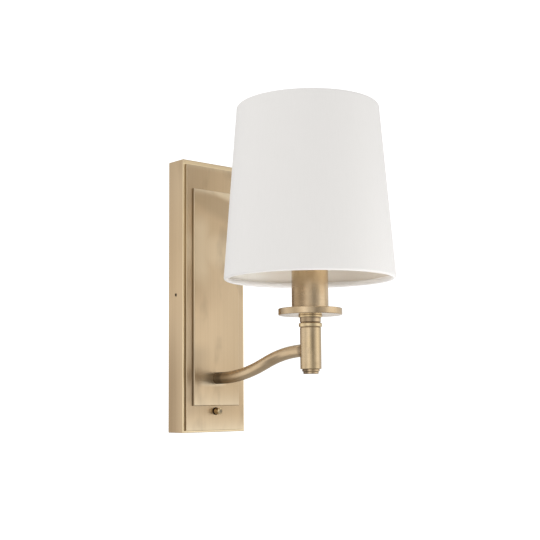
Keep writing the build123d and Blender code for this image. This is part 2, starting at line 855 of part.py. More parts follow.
def switch_plunger():
    """Flange behind the bush that keeps the button in, with a spigot in the button."""
    flange = Circle(plunger_flange_diameter / 2)
    flange_back = button_back - plunger_flange_thickness
    plunger = towards_room(flange, flange_back, plunger_flange_thickness, z=switch_height)
    spigot = Circle(plunger_spigot_diameter / 2)
    return plunger + towards_room(spigot, button_back, plunger_spigot_length, z=switch_height)


def switch_button():
    """Turned brass button with a chamfered end."""
    end = plate_front + button_proud
    button = towards_room(Circle(button_diameter / 2), button_back, end - button_back, z=switch_height)
    button = chamfer(button.faces().sort_by(Axis.Y)[0].edges(), button_chamfer)
    socket = Circle(plunger_spigot_diameter / 2 + running_clearance)
    socket_depth = plunger_spigot_length + running_clearance
    return button - towards_room(socket, button_back, socket_depth, z=switch_height)


# Leads

def lead(edges):
    return tube_along(edges, Circle(lead_diameter / 2))


def block_lead_end():
    """Height at which a lead enters the lower half of a pole."""
    return block_centre_height - pole_screw_spread / 2 + pole_screw_diameter / 2


def lead_through_arm(x, route):
    """A lead from the box through the arm, up the stem and into the lampholder."""
    entry = Vector(x, -lead_depth, arm_root_height)
    mouth = Vector(x, -(box_inside - arm_nipple_tail), arm_root_height)
    radii = [lead_bend] * len(route)
    approach = FilletPolyline(*route, entry, mouth - Vector(0, lead_bend, 0), radius=radii)
    inside = arm_edges(x, box_inside - arm_nipple_tail + lead_bend, reach - lead_bend)
    turn_start = Vector(x, -reach + lead_bend, arm_end_height)
    turn_end = Vector(x, -reach, arm_end_height + lead_bend)
    turn_centre = Vector(x, -reach + lead_bend, arm_end_height + lead_bend)
    turn_middle = turn_centre - Vector(0, 1, 1).normalized() * lead_bend
    turn = ThreePointArc(turn_start, turn_middle, turn_end)
    rise = Line(turn_end, Vector(x, -reach, holder_bottom - thread_clearance))
    return lead(list(approach.edges()) + inside + [turn, rise])


def neutral_lead():
    x = pole_pitch
    route = [Vector(x, -lead_depth, block_lead_end()), Vector(x, -lead_depth, neutral_drop),
             Vector(lead_side, -lead_depth, neutral_gather)]
    return lead_through_arm(lead_side, route)


def switched_lead():
    tab_top = switch_height + tab_width / 2
    depth = tab_back() + tab_length / 2
    x = tab_pitch / 2
    route = [Vector(x, -depth, tab_top + thread_clearance), Vector(x, -depth, tab_top + lead_bend),
             Vector(-lead_side, -lead_depth, tab_top + 3 * lead_bend)]
    return lead_through_arm(-lead_side, route)


def live_lead():
    tab_top = switch_height + tab_width / 2
    depth = tab_back() + tab_length / 2
    x = tab_pitch / 2
    route = [Vector(-pole_pitch, -lead_depth, block_lead_end()), Vector(-pole_pitch, -lead_depth, live_drop),
             Vector(-x - lead_diameter, -lead_depth, live_gather),
             Vector(-x, -depth, tab_top + 2 * lead_bend), Vector(-x, -depth, tab_top + thread_clearance)]
    return lead(FilletPolyline(*route, radius=lead_wide_bend).edges())


def earth_lead():
    tag_depth = box_inside - arm_washer_thickness - earth_tag_thickness / 2
    tag_top = arm_root_height + earth_tag_diameter / 2 + earth_tag_tail
    route = [Vector(0, -lead_depth, block_lead_end()), Vector(0, -lead_depth, earth_drop),
             Vector(0, -tag_depth, tag_top + 2 * lead_bend),
             Vector(0, -tag_depth, tag_top + thread_clearance)]
    return lead(FilletPolyline(*route, radius=lead_wide_bend).edges())


pieces = [
    wall_bracket, side_screws, earth_screw, terminal_block, terminal_poles, terminal_screws, block_screw,
    back_box, face_plate, raised_panel, panel_studs, stud_washers, stud_nuts,
    arm, arm_nipple, arm_washer, earth_tag, arm_nut,
    column, finial, bead_ring, neck_collar, stem_nipple, stem_nut,
    drip_pan, candle_tube, holder_cap, holder_body, holder_shell, holder_contact,
    shade_ring, shade_frame, shade_bottom_ring, shade_cover, shade_liner,
    bulb_cap, bulb_glass, bulb_filaments,
    switch_bush, switch_nut, switch_housing, switch_base, switch_tabs, switch_plunger, switch_button,
    neutral_lead, switched_lead, live_lead, earth_lead,
]

os.makedirs("parts", exist_ok=True)
for piece in pieces:
    export_step(piece(), f"parts/{piece.__name__}.step")
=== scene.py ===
import math

import bmesh
import bpy
from mathutils import Matrix, Vector, noise


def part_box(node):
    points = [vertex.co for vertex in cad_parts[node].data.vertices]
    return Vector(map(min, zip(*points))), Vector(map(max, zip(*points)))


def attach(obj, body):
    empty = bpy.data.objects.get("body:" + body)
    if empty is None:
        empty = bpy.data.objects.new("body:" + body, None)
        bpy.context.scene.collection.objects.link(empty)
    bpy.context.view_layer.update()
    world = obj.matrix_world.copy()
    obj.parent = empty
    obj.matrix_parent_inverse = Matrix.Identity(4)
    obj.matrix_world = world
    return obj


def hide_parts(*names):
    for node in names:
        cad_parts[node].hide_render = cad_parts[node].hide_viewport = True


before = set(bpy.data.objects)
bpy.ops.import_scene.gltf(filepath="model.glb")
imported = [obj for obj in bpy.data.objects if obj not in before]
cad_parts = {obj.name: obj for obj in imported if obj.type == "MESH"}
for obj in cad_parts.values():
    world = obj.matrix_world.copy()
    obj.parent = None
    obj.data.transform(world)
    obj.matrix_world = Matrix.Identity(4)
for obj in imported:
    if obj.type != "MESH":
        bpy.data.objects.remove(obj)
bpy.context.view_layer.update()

# A candle wall light in antique brass with a white satin shade. Metres, in the part's own frame:
# X to the right, Z up, the wall is Y = 0 and the light stands out towards -Y.

# Camera of the photograph, for a picture of 540 by 540
picture_side = 540
camera_focal_pixels = 1069.9
camera_place = Vector((-0.68709, -0.89709, -0.10496))
camera_yaw = math.radians(41.24)
camera_pitch = math.radians(6.78)
camera_roll = math.radians(-0.49)
sensor_width_mm = 36.0

# Roundness of turned pieces
turned_steps = 96
shade_steps = 192
pan_steps = 144
tube_steps = 48
bend_steps = 24
hem_steps = 8

# Angles in degrees under which shading runs smoothly over an edge
plain_angle = 35
turned_angle = 40
cloth_angle = 60

# Back box and plates
box_wall = 0.0012
box_edge_round = 0.0006
plate_edge_round = 0.0005
panel_edge_round = 0.0008
drill_margin = 0.0001
drill_reach = 0.002

# Arm
arm_wall = 0.001
arm_lead = 0.006
arm_lower_radius = 0.190
arm_upper_radius = 0.150
arm_slope = math.radians(19.2)
arm_seat = 0.0024

# Turned pieces
column_wall = 0.0025
column_edge_round = 0.0005
finial_step_height = 0.0022
finial_step_radius = 0.0072
finial_edge_round = 0.0006
stem_hole_radius = 0.005
bead_land = 0.00035
bead_root_radius = 0.0094
bead_edge_round = 0.0009
neck_radius = 0.0099
neck_groove = 0.0005
collar_height = 0.0021
collar_edge_round = 0.00035
pan_sheet = 0.0014
pan_edge_round = 0.0006
candle_wall = 0.0008
candle_edge_round = 0.0002

# Shade
shade_bottom_radius = 0.081
shade_top_radius = 0.068
shade_height = 0.166
cover_thickness = 0.0007
liner_thickness = 0.0004
hem_roll = 0.0021
hem_depth = 0.0056
hem_flap_offset = 0.0012
hem_wander = 0.0004
hem_wander_scale = 150
hem_notch_half = 0.0021
liner_start = 0.0044
glue_gap = 0.00005
frame_arm_angles = (90, 210, 330)
seam_angle = 90
seam_fade = 15
seam_step = 0.0005

# Push button
button_chamfer = 0.0012
button_edge_round = 0.00018
button_gap = 0.00005
bush_edge_round = 0.00015

# Places closer than this count as the same, and meshes merge below the smaller distance
near_enough = 1e-5
merge_distance = 1e-6


# Places taken from the frame

def middle_of(node):
    low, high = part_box(node)
    return (low + high) / 2


def half_width(node):
    low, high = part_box(node)
    return (high.x - low.x) / 2


origin = Vector((0, 0, 0))
light_axis = Vector((0, middle_of("candle_tube").y, 0))
shade_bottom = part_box("shade_cover")[0].z
shade_top = shade_bottom + shade_height
shade_lean = shade_bottom_radius - shade_top_radius
shade_slant = math.hypot(shade_height, shade_lean)


def from_axis(place):
    """Distance of a point from the light's upright axis."""
    return math.hypot(place.x, place.y - light_axis.y)


def around_axis(place):
    """Angle of a point about the light's axis, in degrees from +X towards +Y."""
    return math.degrees(math.atan2(place.y - light_axis.y, place.x - light_axis.x)) % 360


# Modelling by hand

def deselect():
    if bpy.context.object and bpy.context.object.mode != "OBJECT":
        bpy.ops.object.mode_set(mode="OBJECT")
    bpy.ops.object.select_all(action="DESELECT")


def take_new(name):
    """Name the primitive just added and put its place into its mesh."""
    piece = bpy.context.object
    piece.name = name
    piece.data.name = name
    bpy.ops.object.transform_apply(location=True, rotation=True, scale=True)
    return piece


def pick(piece):
    deselect()
    piece.select_set(True)
    bpy.context.view_layer.objects.active = piece


def edit(piece, kind, action="DESELECT"):
    """Go to edit mode to select one kind of element, with all or none of them selected."""
    pick(piece)
    bpy.ops.object.mode_set(mode="EDIT")
    bpy.ops.mesh.select_mode(type=kind)
    bpy.ops.mesh.select_all(action=action)


def leave_edit():
    bpy.ops.object.mode_set(mode="OBJECT")


def choose_faces(piece, test):
    """Go to edit mode with the faces selected whose middle and normal pass a test."""
    edit(piece, "FACE")
    shape = bmesh.from_edit_mesh(piece.data)
    for face in shape.faces:
        face.select_set(test(face.calc_center_median(), face.normal))
    bmesh.update_edit_mesh(piece.data)


def choose_edges(piece, test):
    """Go to edit mode with the edges selected whose two ends pass a test."""
    edit(piece, "EDGE")
    shape = bmesh.from_edit_mesh(piece.data)
    for edge in shape.edges:
        edge.select_set(test(edge.verts[0].co, edge.verts[1].co))
    bmesh.update_edit_mesh(piece.data)


def extrude(step):
    bpy.ops.mesh.extrude_edges_move(TRANSFORM_OT_translate={"value": step})


def bevel_chosen(width, segments):
    bpy.ops.mesh.bevel(offset=width, segments=segments, affect="EDGES")


def merge_doubles(piece):
    edit(piece, "VERT", "SELECT")
    bpy.ops.mesh.remove_doubles(threshold=merge_distance)


def outward(piece):
    """Merge doubles and turn every face outwards."""
    merge_doubles(piece)
    bpy.ops.mesh.normals_make_consistent(inside=False)
    leave_edit()


def apply_modifier(piece, kind, **settings):
    pick(piece)
    modifier = piece.modifiers.new(kind.title(), kind)
    for key, value in settings.items():
        setattr(modifier, key, value)
    bpy.ops.object.modifier_apply(modifier=modifier.name)


def round_edges(piece, width, segments=3, angle=30):
    apply_modifier(piece, "BEVEL", width=width, segments=segments, limit_method="ANGLE",
                   angle_limit=math.radians(angle))


def thicken(piece, wall):
    """Give an open skin its wall, inwards from its outside."""
    apply_modifier(piece, "SOLIDIFY", thickness=wall, offset=-1.0, use_even_offset=True)


def cut_with(piece, cutter):
    apply_modifier(piece, "BOOLEAN", operation="DIFFERENCE", object=cutter, solver="EXACT")
    bpy.data.objects.remove(cutter)


def smooth(piece, angle=plain_angle):
    """Smooth shading in which the large faces keep their own normals beside rounded edges."""
    pick(piece)
    bpy.ops.object.shade_smooth_by_angle(angle=math.radians(angle))
    apply_modifier(piece, "WEIGHTED_NORMAL", mode="FACE_AREA", weight=50, keep_sharp=True)


def block(name, low, high):
    deselect()
    bpy.ops.mesh.primitive_cube_add(size=1, location=(low + high) / 2)
    bpy.context.object.scale = high - low
    return take_new(name)


def rod(name, start, end, radius, steps=tube_steps):
    deselect()
    along = end - start
    turn = along.to_track_quat("Z", "Y").to_euler()
    bpy.ops.mesh.primitive_cylinder_add(vertices=steps, radius=radius, depth=along.length,
                                        location=(start + end) / 2, rotation=turn)
    return take_new(name)


def turned(name, outline, steps=turned_steps, centre=light_axis):
    """Carry a circle up through a half outline of (radius, height) points, open at both ends."""
    deselect()
    radius, height = outline[0]
    start = (centre.x, centre.y, height)
    bpy.ops.mesh.primitive_circle_add(vertices=steps, radius=radius, location=start)
    piece = take_new(name)
    edit(piece, "EDGE", "SELECT")
    for (from_radius, from_height), (to_radius, to_height) in zip(outline, outline[1:]):
        share = to_radius / from_radius
        middle = (centre.x, centre.y, to_height)
        extrude((0, 0, to_height - from_height))
        bpy.ops.transform.resize(value=(share, share, 1), center_override=middle)
    leave_edit()
    return piece


def close_ends(piece):
    """Fill the open circles at the ends of a turned piece."""
    edit(piece, "EDGE")
    bpy.ops.mesh.select_non_manifold()
    bpy.ops.mesh.edge_face_add()
    outward(piece)


def join_ends(piece):
    """Bridge the open circles at the ends of a turned piece, which makes it a ring."""
    edit(piece, "EDGE")
    bpy.ops.mesh.select_non_manifold()
    bpy.ops.mesh.bridge_edge_loops()
    outward(piece)


def point_out(piece, node):
    """Lay a piece made upright about the origin, pointing out of the wall at a node, and smooth it."""
    middle = middle_of(node)
    pick(piece)
    piece.rotation_euler = (math.radians(90), 0, 0)
    piece.location = (middle.x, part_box(node)[1].y, middle.z)
    bpy.ops.object.transform_apply(location=True, rotation=True, scale=True)
    smooth(piece)


def dress(piece, finish_name, slot, *nodes, body="fixture"):
    """Give a finished piece its material and its body, and hide the nodes that it stands for; the slot
    is not used.
    """
    deselect()
    piece.data.materials.clear()
    piece.data.materials.append(finish[finish_name])
    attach(piece, body)
    for node in nodes:
        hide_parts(node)


# Material nodes

def new_material(name):
    made = bpy.data.materials.new(name)
    made.use_nodes = True
    return made, made.node_tree


def connect(tree, value, socket):
    if isinstance(value, bpy.types.NodeSocket):
        tree.links.new(value, socket)
    else:
        socket.default_value = value


def add(tree, kind, output=0, settings=(), **inputs):
    """Add a node; inputs are named as on the node, with _ for a space."""
    made = tree.nodes.new(kind)
    for key, value in dict(settings).items():
        setattr(made, key, value)
    for key, value in inputs.items():
        connect(tree, value, made.inputs[key.replace("_", " ")])
    return made.outputs[output]


def feed(tree, node, *values):
    """Give a node's first inputs their values, in order, and take its first output."""
    for value, socket in zip(values, node.inputs):
        connect(tree, value, socket)
    return node.outputs[0]


def calc(tree, operation, *values):
    made = tree.nodes.new("ShaderNodeMath")
    made.operation = operation
    return feed(tree, made, *values)


def remap(tree, value, low, high, to_low=0.0, to_high=1.0, kind="SMOOTHSTEP"):
    settings = {"interpolation_type": kind}
    return add(tree, "ShaderNodeMapRange", settings=settings, Value=value, From_Min=low, From_Max=high,
               To_Min=to_low, To_Max=to_high)


def grow(tree, value, start, end, share=1.0):
    """Nothing at the start, a share at the end."""
    return remap(tree, value, start, end, 0.0, share)


def fade(tree, value, start, end, share=1.0):
    """A share at the start, nothing at the end."""
    return remap(tree, value, start, end, share, 0.0)


def plus(tree, first, second):
    return calc(tree, "ADD", first, second)


def less(tree, first, second):
    return calc(tree, "SUBTRACT", first, second)


def times(tree, *values):
    """Product of several values."""
    product = values[0]
    for value in values[1:]:
        product = calc(tree, "MULTIPLY", product, value)
    return product


def larger(tree, *values):
    """The largest of several values."""
    most = values[0]
    for value in values[1:]:
        most = calc(tree, "MAXIMUM", most, value)
    return most


def apart(tree, value, level):
    """How far a value is from a level, either way."""
    return calc(tree, "ABSOLUTE", less(tree, value, level))


def diagonal(tree, first, second):
    """Length of the line across two lengths at a right angle."""
    return calc(tree, "SQRT", plus(tree, times(tree, first, first), times(tree, second, second)))


def blend(tree, share, first, second):
    made = tree.nodes.new("ShaderNodeMix")
    made.data_type = "RGBA"
    connect(tree, share, made.inputs[0])
    connect(tree, first, made.inputs[6])
    connect(tree, second, made.inputs[7])
    return made.outputs[2]


def object_place(tree):
    return tree.nodes.new("ShaderNodeTexCoord").outputs["Object"]


def place_from(tree, middle):
    """Object place measured from a point."""
    return add(tree, "ShaderNodeMapping", Vector=object_place(tree), Location=-middle)


def grain(tree, place, scale, detail=3.0):
    """Noise whose scale is given for each axis, in marks per metre."""
    scaled = add(tree, "ShaderNodeMapping", Vector=place, Scale=scale)
    return add(tree, "ShaderNodeTexNoise", Vector=scaled, Scale=1.0, Detail=detail, Roughness=0.55)


def parts_of(tree, place):
    made = tree.nodes.new("ShaderNodeSeparateXYZ")
    connect(tree, place, made.inputs[0])
    return made.outputs


def object_xyz(tree):
    return parts_of(tree, object_place(tree))


def turn_from_front(tree, x, y):
    """Angle about an upright axis, from straight out of the wall."""
    return calc(tree, "ARCTAN2", x, times(tree, y, -1.0))


def unrolled(tree, radius):
    """Object place unrolled about the light's axis: distance round, distance out, height."""
    x, y, z = parts_of(tree, place_from(tree, light_axis))
    turn = turn_from_front(tree, x, y)
    out = diagonal(tree, x, y)
    around = times(tree, turn, radius)
    return add(tree, "ShaderNodeCombineXYZ", X=around, Y=out, Z=z)


def ripple(tree, value, pitch):
    return calc(tree, "SINE", times(tree, value, 2 * math.pi / pitch))


def bump(tree, height, strength, distance):
    return add(tree, "ShaderNodeBump", Height=height, Strength=strength, Distance=distance)


def shade_with(tree, **inputs):
    shader = tree.nodes["Principled BSDF"]
    for key, value in inputs.items():
        connect(tree, value, shader.inputs[key.replace("_", " ")])


# Finishes

brass_light = (0.695, 0.532, 0.343, 1)
brass_mid = (0.630, 0.468, 0.288, 1)
brass_dark = (0.430, 0.305, 0.180, 1)
# Light tones for wear and painted highlights, dark tones for patina and painted shade
wear_and_highlight_gold = (0.960, 0.765, 0.450, 1)
wear_and_highlight_pale = (0.970, 0.830, 0.600, 1)
wear_and_highlight_rim = (0.975, 0.800, 0.520, 1)
patina_and_shade_brown = (0.150, 0.100, 0.060, 1)
patina_and_shade_warm = (0.200, 0.115, 0.050, 1)
patina_and_shade_black = (0.105, 0.085, 0.070, 1)
arm_highlight_tone = (0.700, 0.620, 0.500, 1)
drive_dark = (0.030, 0.022, 0.016, 1)
satin_white = (0.790, 0.772, 0.750, 1)
satin_slub = (0.780, 0.762, 0.740, 1)
satin_gap = (0.700, 0.680, 0.655, 1)
satin_glow = (0.870, 0.850, 0.825, 1)
lining_pale = (0.930, 0.910, 0.855, 1)
lining_cloud = (0.910, 0.885, 0.825, 1)
lining_shaded = (0.805, 0.745, 0.664, 1)
lining_fibre = (0.760, 0.710, 0.620, 1)
glass_clear = (0.970, 0.980, 0.980, 1)
sleeve_yellow = (0.720, 0.620, 0.040, 1)
sleeve_green = (0.060, 0.300, 0.050, 1)
# The light's left and back, where shade is painted on the turned brass
left_back = Vector((-0.75, 0.66, 0))
# Height of the painted highlight on the plates
highlight_height = 0.047
screw_drive_radius = 0.0011
near_shade = (shade_bottom - 0.012, shade_bottom + 0.006)
ring_radius = 0.01
warp_pitch = 0.00036
weft_pitch = 0.0005
stripe_pitch = 0.002


def antique_brass(name, place_of, scales, rough, spread, patina_and_shade_of=None, wear_and_highlight_of=None, wear_and_highlight_tone=wear_and_highlight_pale,
                  patina_and_shade_tone=patina_and_shade_brown):
    """Lacquered antique brass: fine grain, streaks and clouds of tone, and where asked patina and
    painted shade, wear and painted highlights.

    scales are those of grain, streaks and clouds. spread is how much more the grain blurs across itself.
    """
    made, tree = new_material(name)
    fine, streaks = [grain(tree, place_of(tree), scale) for scale in scales[:2]]
    clouds = grain(tree, object_place(tree), scales[2], detail=2.0)
    tone = blend(tree, grow(tree, clouds, 0.36, 0.64), brass_mid, brass_light)
    tone = blend(tree, grow(tree, streaks, 0.46, 0.74, 0.11), tone, brass_dark)
    tone = blend(tree, grow(tree, fine, 0.5, 0.85, 0.06), tone, brass_dark)
    polish = remap(tree, streaks, 0.3, 0.7, rough - 0.015, rough + 0.02)
    if wear_and_highlight_of:
        tone = blend(tree, wear_and_highlight_of(tree, clouds), tone, wear_and_highlight_tone)
    if patina_and_shade_of:
        patina_and_shade = patina_and_shade_of(tree, clouds)
        tone = blend(tree, patina_and_shade, tone, patina_and_shade_tone)
        polish = plus(tree, polish, times(tree, patina_and_shade, 0.15))
    across = add(tree, "ShaderNodeTangent", settings={"direction_type": "RADIAL", "axis": "Z"})
    shade_with(tree, Base_Color=tone, Metallic=1.0, Roughness=polish, Anisotropic=spread, Tangent=across,
               Normal=bump(tree, fine, 0.012, 0.0002))
    return made


def outside_of(tree, node):
    """How far a point lies beyond a plate's sides, beyond its ends and behind its front."""
    low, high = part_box(node)
    middle = middle_of(node)
    x, y, z = object_xyz(tree)
    off_x = less(tree, apart(tree, x, middle.x), high.x - middle.x)
    off_z = less(tree, apart(tree, z, middle.z), high.z - middle.z)
    return off_x, off_z, less(tree, y, low.y)


def on_front(tree, node):
    """One on a plate's front face, nothing on its sides."""
    return fade(tree, outside_of(tree, node)[2], 0.0004, 0.0012)


def edge_line(tree, node, width, share):
    """A bright line along a plate's edges."""
    off_x, off_z, _ = outside_of(tree, node)
    line = grow(tree, larger(tree, off_x, off_z), -width, -0.2 * width, share)
    return times(tree, line, on_front(tree, node))


def end_bands(tree, node, top_width, top_share, foot_width, foot_share):
    """Lighter towards the top and the foot of a plate."""
    low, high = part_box(node)
    z = object_xyz(tree)[2]
    top = remap(tree, z, high.z - top_width, high.z, kind="LINEAR")
    foot = remap(tree, z, low.z, low.z + foot_width, 1.0, 0.0, "LINEAR")
    bands = larger(tree, times(tree, top, top, top_share), times(tree, foot, foot, foot_share))
    return times(tree, bands, on_front(tree, node))


def highlight_patch(tree, share):
    """A painted highlight above the middle of the plates."""
    return fade(tree, apart(tree, object_xyz(tree)[2], highlight_height), 0.006, 0.024, share)


def shaded_top(tree, share):
    """Painted shade: plates grow darker towards their top."""
    z = object_xyz(tree)[2]
    return grow(tree, z, highlight_height + 0.02, highlight_height + 0.055, share)


def smoke(tree, share):
    """Faint dark clouds, longer along the grain."""
    return grow(tree, grain(tree, object_place(tree), (38, 38, 16)), 0.48, 0.72, share)


def box_wear_and_highlight(tree, clouds):
    """The box's front rim is rubbed to gold and given a painted highlight, less along its top."""
    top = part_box("back_box")[1].z
    z = object_xyz(tree)[2]
    cloudy = remap(tree, clouds, 0.3, 0.6, 0.9, 1.0)
    below_top = remap(tree, z, top - 0.005, top - 0.003, 1.0, 0.6)
    return times(tree, on_front(tree, "back_box"), cloudy, below_top)


def box_brown_and_shade(tree, clouds):
    """The box's sides are browner towards the wall and the foot; painted shade darkens its rim in the
    seam beside the plate and along its top.
    """
    behind = outside_of(tree, "back_box")[2]
    off_x, off_z, _ = outside_of(tree, "face_plate")
    z = object_xyz(tree)[2]
    near_wall = grow(tree, behind, 0.004, 0.024, 0.12)
    foot = times(tree, fade(tree, z, -0.10, 0.03, 0.34), remap(tree, behind, 0.003, 0.02, 0.65, 1.4))
    brown = plus(tree, larger(tree, near_wall, foot, smoke(tree, 0.14)), 0.03)
    brown = times(tree, brown, grow(tree, behind, 0.0004, 0.002))
    seam = times(tree, fade(tree, off_x, 0.0007, 0.0013), fade(tree, off_z, -0.0004, 0.0),
                 remap(tree, z, -0.09, 0.10, 1.0, 0.45))
    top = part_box("back_box")[1].z
    edge = grow(tree, z, top - 0.0014, top - 0.0007, 0.3)
    return larger(tree, brown, times(tree, larger(tree, seam, edge), on_front(tree, "back_box")))


# Wear along the plate's edges, lighter ends, and a painted highlight above its middle.
def face_plate_wear_and_highlight(tree, clouds):
    return larger(tree, edge_line(tree, "face_plate", 0.0008, 0.6),
                  end_bands(tree, "face_plate", 0.006, 0.3, 0.022, 0.6), highlight_patch(tree, 0.3))


def face_plate_patina_and_shade(tree, clouds):
    """Painted shade on the plate's own sides and round the raised panel, deepest in the seam beside it,
    and towards the top; faint dark clouds.
    """
    behind = outside_of(tree, "face_plate")[2]
    off_x, off_z, _ = outside_of(tree, "raised_panel")
    x, _, z = object_xyz(tree)
    lower = times(tree, remap(tree, z, -0.06, 0.045, 0.29, 0.06), remap(tree, x, 0.0, 0.03, 1.0, 0.35),
                  remap(tree, off_z, -0.006, 0.0, 1.0, 0.45))
    round_panel = times(tree, fade(tree, larger(tree, off_x, off_z), 0.0, 0.016), lower)
    beside = times(tree, fade(tree, off_x, 0.0, 0.0016, 0.4), fade(tree, off_z, -0.0002, 0.0002))
    own_sides = times(tree, grow(tree, behind, 0.0008, 0.0016), grow(tree, z, -0.09, 0.09, 0.1))
    top_shade = times(tree, shaded_top(tree, 0.09), fade(tree, x, -0.035, 0.015, 2.2))
    return larger(tree, own_sides, round_panel, beside, smoke(tree, 0.2), top_shade)


def arm_root_highlight(tree, share):
    """A painted highlight on the panel round the arm's root, most on the left, against the arm's dark
    reflection.
    """
    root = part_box("arm")[0].z + half_width("arm")
    x, _, z = object_xyz(tree)
    aside = apart(tree, x, -0.006)
    level = apart(tree, z, root - 0.0015)
    return times(tree, fade(tree, aside, 0.010, 0.020, share), fade(tree, level, 0.003, 0.0085))


def below_slant(tree, slope):
    """How far a point lies below a line that slants down to the right across the top of the panel."""
    x, _, z = object_xyz(tree)
    depth = less(tree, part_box("raised_panel")[1].z, z)
    return less(tree, depth, times(tree, x, slope))


def lit_left(tree):
    """One on the panel's left beside the painted highlight, fading to nothing round it, where more
    highlight is painted.
    """
    x, _, z = object_xyz(tree)
    off_level = apart(tree, z, highlight_height)
    return times(tree, fade(tree, x, -0.020, -0.004), fade(tree, off_level, 0.020, 0.045))


# Wear along the panel's edges, lighter ends, and painted highlights round the arm's root, above the
# middle, on the left and along the top down to a slanted line.
def panel_wear_and_highlight(tree, clouds):
    return larger(tree, edge_line(tree, "raised_panel", 0.0010, 0.6), arm_root_highlight(tree, 0.7),
                  end_bands(tree, "raised_panel", 0.008, 0.75, 0.025, 0.5), highlight_patch(tree, 0.3),
                  times(tree, lit_left(tree), 0.4),
                  fade(tree, below_slant(tree, 0.25), -0.0005, 0.0075, 0.6))


def panel_patina_and_shade(tree, clouds):
    """Painted shade on the panel's sides and in a band below a slanted line across its top; a little
    darker to its right and lower left; faint dark clouds, not where highlight is painted.
    """
    behind = outside_of(tree, "raised_panel")[2]
    x, _, z = object_xyz(tree)
    sides = times(tree, grow(tree, behind, 0.0008, 0.0018), remap(tree, z, -0.09, -0.03, 0.75, 0.5))
    kept = less(tree, 1.0, lit_left(tree))
    band = times(tree, grow(tree, below_slant(tree, 0.25), 0.002, 0.008),
                 fade(tree, below_slant(tree, 0.4), 0.020, 0.034, 0.18))
    off_foot = apart(tree, z, -0.068)
    foot = times(tree, fade(tree, x, -0.025, 0.0, 0.16), fade(tree, off_foot, 0.006, 0.022))
    return larger(tree, sides, grow(tree, x, -0.01, 0.03, 0.05), foot,
                  times(tree, smoke(tree, 0.24), kept), band)


def plate_brass(name, patina_and_shade_of, wear_and_highlight_of, wear_and_highlight_tone, patina_and_shade_tone):
    """Plate brass with an upright grain."""
    scales = ((1900, 1900, 9), (640, 640, 5), (10, 10, 6))
    return antique_brass(name, object_place, scales, 0.33, 0.5, patina_and_shade_of, wear_and_highlight_of, wear_and_highlight_tone, patina_and_shade_tone)


def toward_left_back(tree):
    """How far a point lies from the light's axis towards its left and back, the side where shade is
    painted on the turned brass.
    """
    x, y, _ = parts_of(tree, place_from(tree, light_axis))
    return plus(tree, times(tree, x, left_back.x), times(tree, y, left_back.y))


def out_from_axis(tree):
    return parts_of(tree, unrolled(tree, 1.0))[1]


def column_wear(tree, clouds):
    return remap(tree, clouds, 0.35, 0.65, 0.28, 0.08)


def column_smudge_and_shade(tree, clouds):
    """A soft dark smudge on the column's front, painted shade on both its sides, and faint blotches."""
    low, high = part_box("column")
    z = object_xyz(tree)[2]
    level = apart(tree, z, low.z + 0.66 * (high.z - low.z))
    aside = apart(tree, toward_left_back(tree), -0.0012)
    smudge = times(tree, fade(tree, level, 0.004, 0.016), fade(tree, aside, 0.0, 0.003, 0.28))
    aged = grow(tree, toward_left_back(tree), 0.0050, 0.0080, 0.3)
    far_side = fade(tree, toward_left_back(tree), -0.0088, -0.0062, 0.22)
    blotches = grain(tree, object_place(tree), (170, 170, 70), detail=2.0)
    return larger(tree, smudge, aged, far_side, grow(tree, blotches, 0.5, 0.68, 0.2))


# Painted shade darkens the finial towards its dark side.
def finial_shade(tree, clouds):
    return remap(tree, toward_left_back(tree), 0.0015, 0.0045, 0.04, 0.9)


def groove_patina_and_shade(tree, clouds):
    """Patina in the grooves beside the bead; painted shade on the dark side of the neck and a painted
    shadow under the flange.
    """
    out = out_from_axis(tree)
    groove = fade(tree, out, bead_root_radius, neck_radius - 0.0001, 0.4)
    neck_shade = times(tree, grow(tree, toward_left_back(tree), -0.005, 0.003, 0.45),
                 remap(tree, out, neck_radius + 0.0001, neck_radius + 0.0006, 1.0, 0.3))
    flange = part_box("neck_collar")[1].z - collar_height
    off_flange = apart(tree, object_xyz(tree)[2], flange)
    flange_shadow = times(tree, fade(tree, off_flange, 0.0004, 0.0022, 0.55),
                   fade(tree, out, neck_radius + 0.0001, neck_radius + 0.0004))
    return larger(tree, groove, neck_shade, flange_shadow)


def crown_wear(tree, clouds):
    """The bead and the flange of the collar are rubbed to gold."""
    out = out_from_axis(tree)
    return grow(tree, out, neck_radius + 0.0002, neck_radius + 0.0008, 0.55)


def pan_shade(tree, clouds):
    """Painted shade under the pan round the collar, and on the pan's dark side."""
    out = out_from_axis(tree)
    return larger(tree, fade(tree, out, 0.011, 0.016, 0.6),
                  grow(tree, toward_left_back(tree), 0.008, 0.026, 0.34))


def candle_highlight(tree, clouds):
    """A painted highlight brightens the tube where it goes into the shade."""
    z = object_xyz(tree)[2]
    return grow(tree, z, *near_shade, 0.2)


def candle_shade(tree, clouds):
    """Painted shade darkens the tube towards its dark side, less where it goes into the shade."""
    z = object_xyz(tree)[2]
    brown = remap(tree, toward_left_back(tree), -0.003, 0.0105, 0.04, 0.63)
    return times(tree, brown, remap(tree, z, *near_shade, 1.0, 0.6))


def turned_brass(name, rough, patina_and_shade=None, wear_and_highlight=None, patina_and_shade_tone=patina_and_shade_brown):
    """Turned brass with fine rings."""
    def round_axis(tree):
        return unrolled(tree, ring_radius)

    scales = ((30, 1900, 1900), (20, 500, 500), (110, 110, 50))
    return antique_brass(name, round_axis, scales, rough, 0.0, patina_and_shade, wear_and_highlight, wear_and_highlight_gold, patina_and_shade_tone)


# A painted highlight lightens the whole push button.
def button_highlight(tree, clouds):
    return remap(tree, clouds, 0.35, 0.65, 0.5, 0.7)


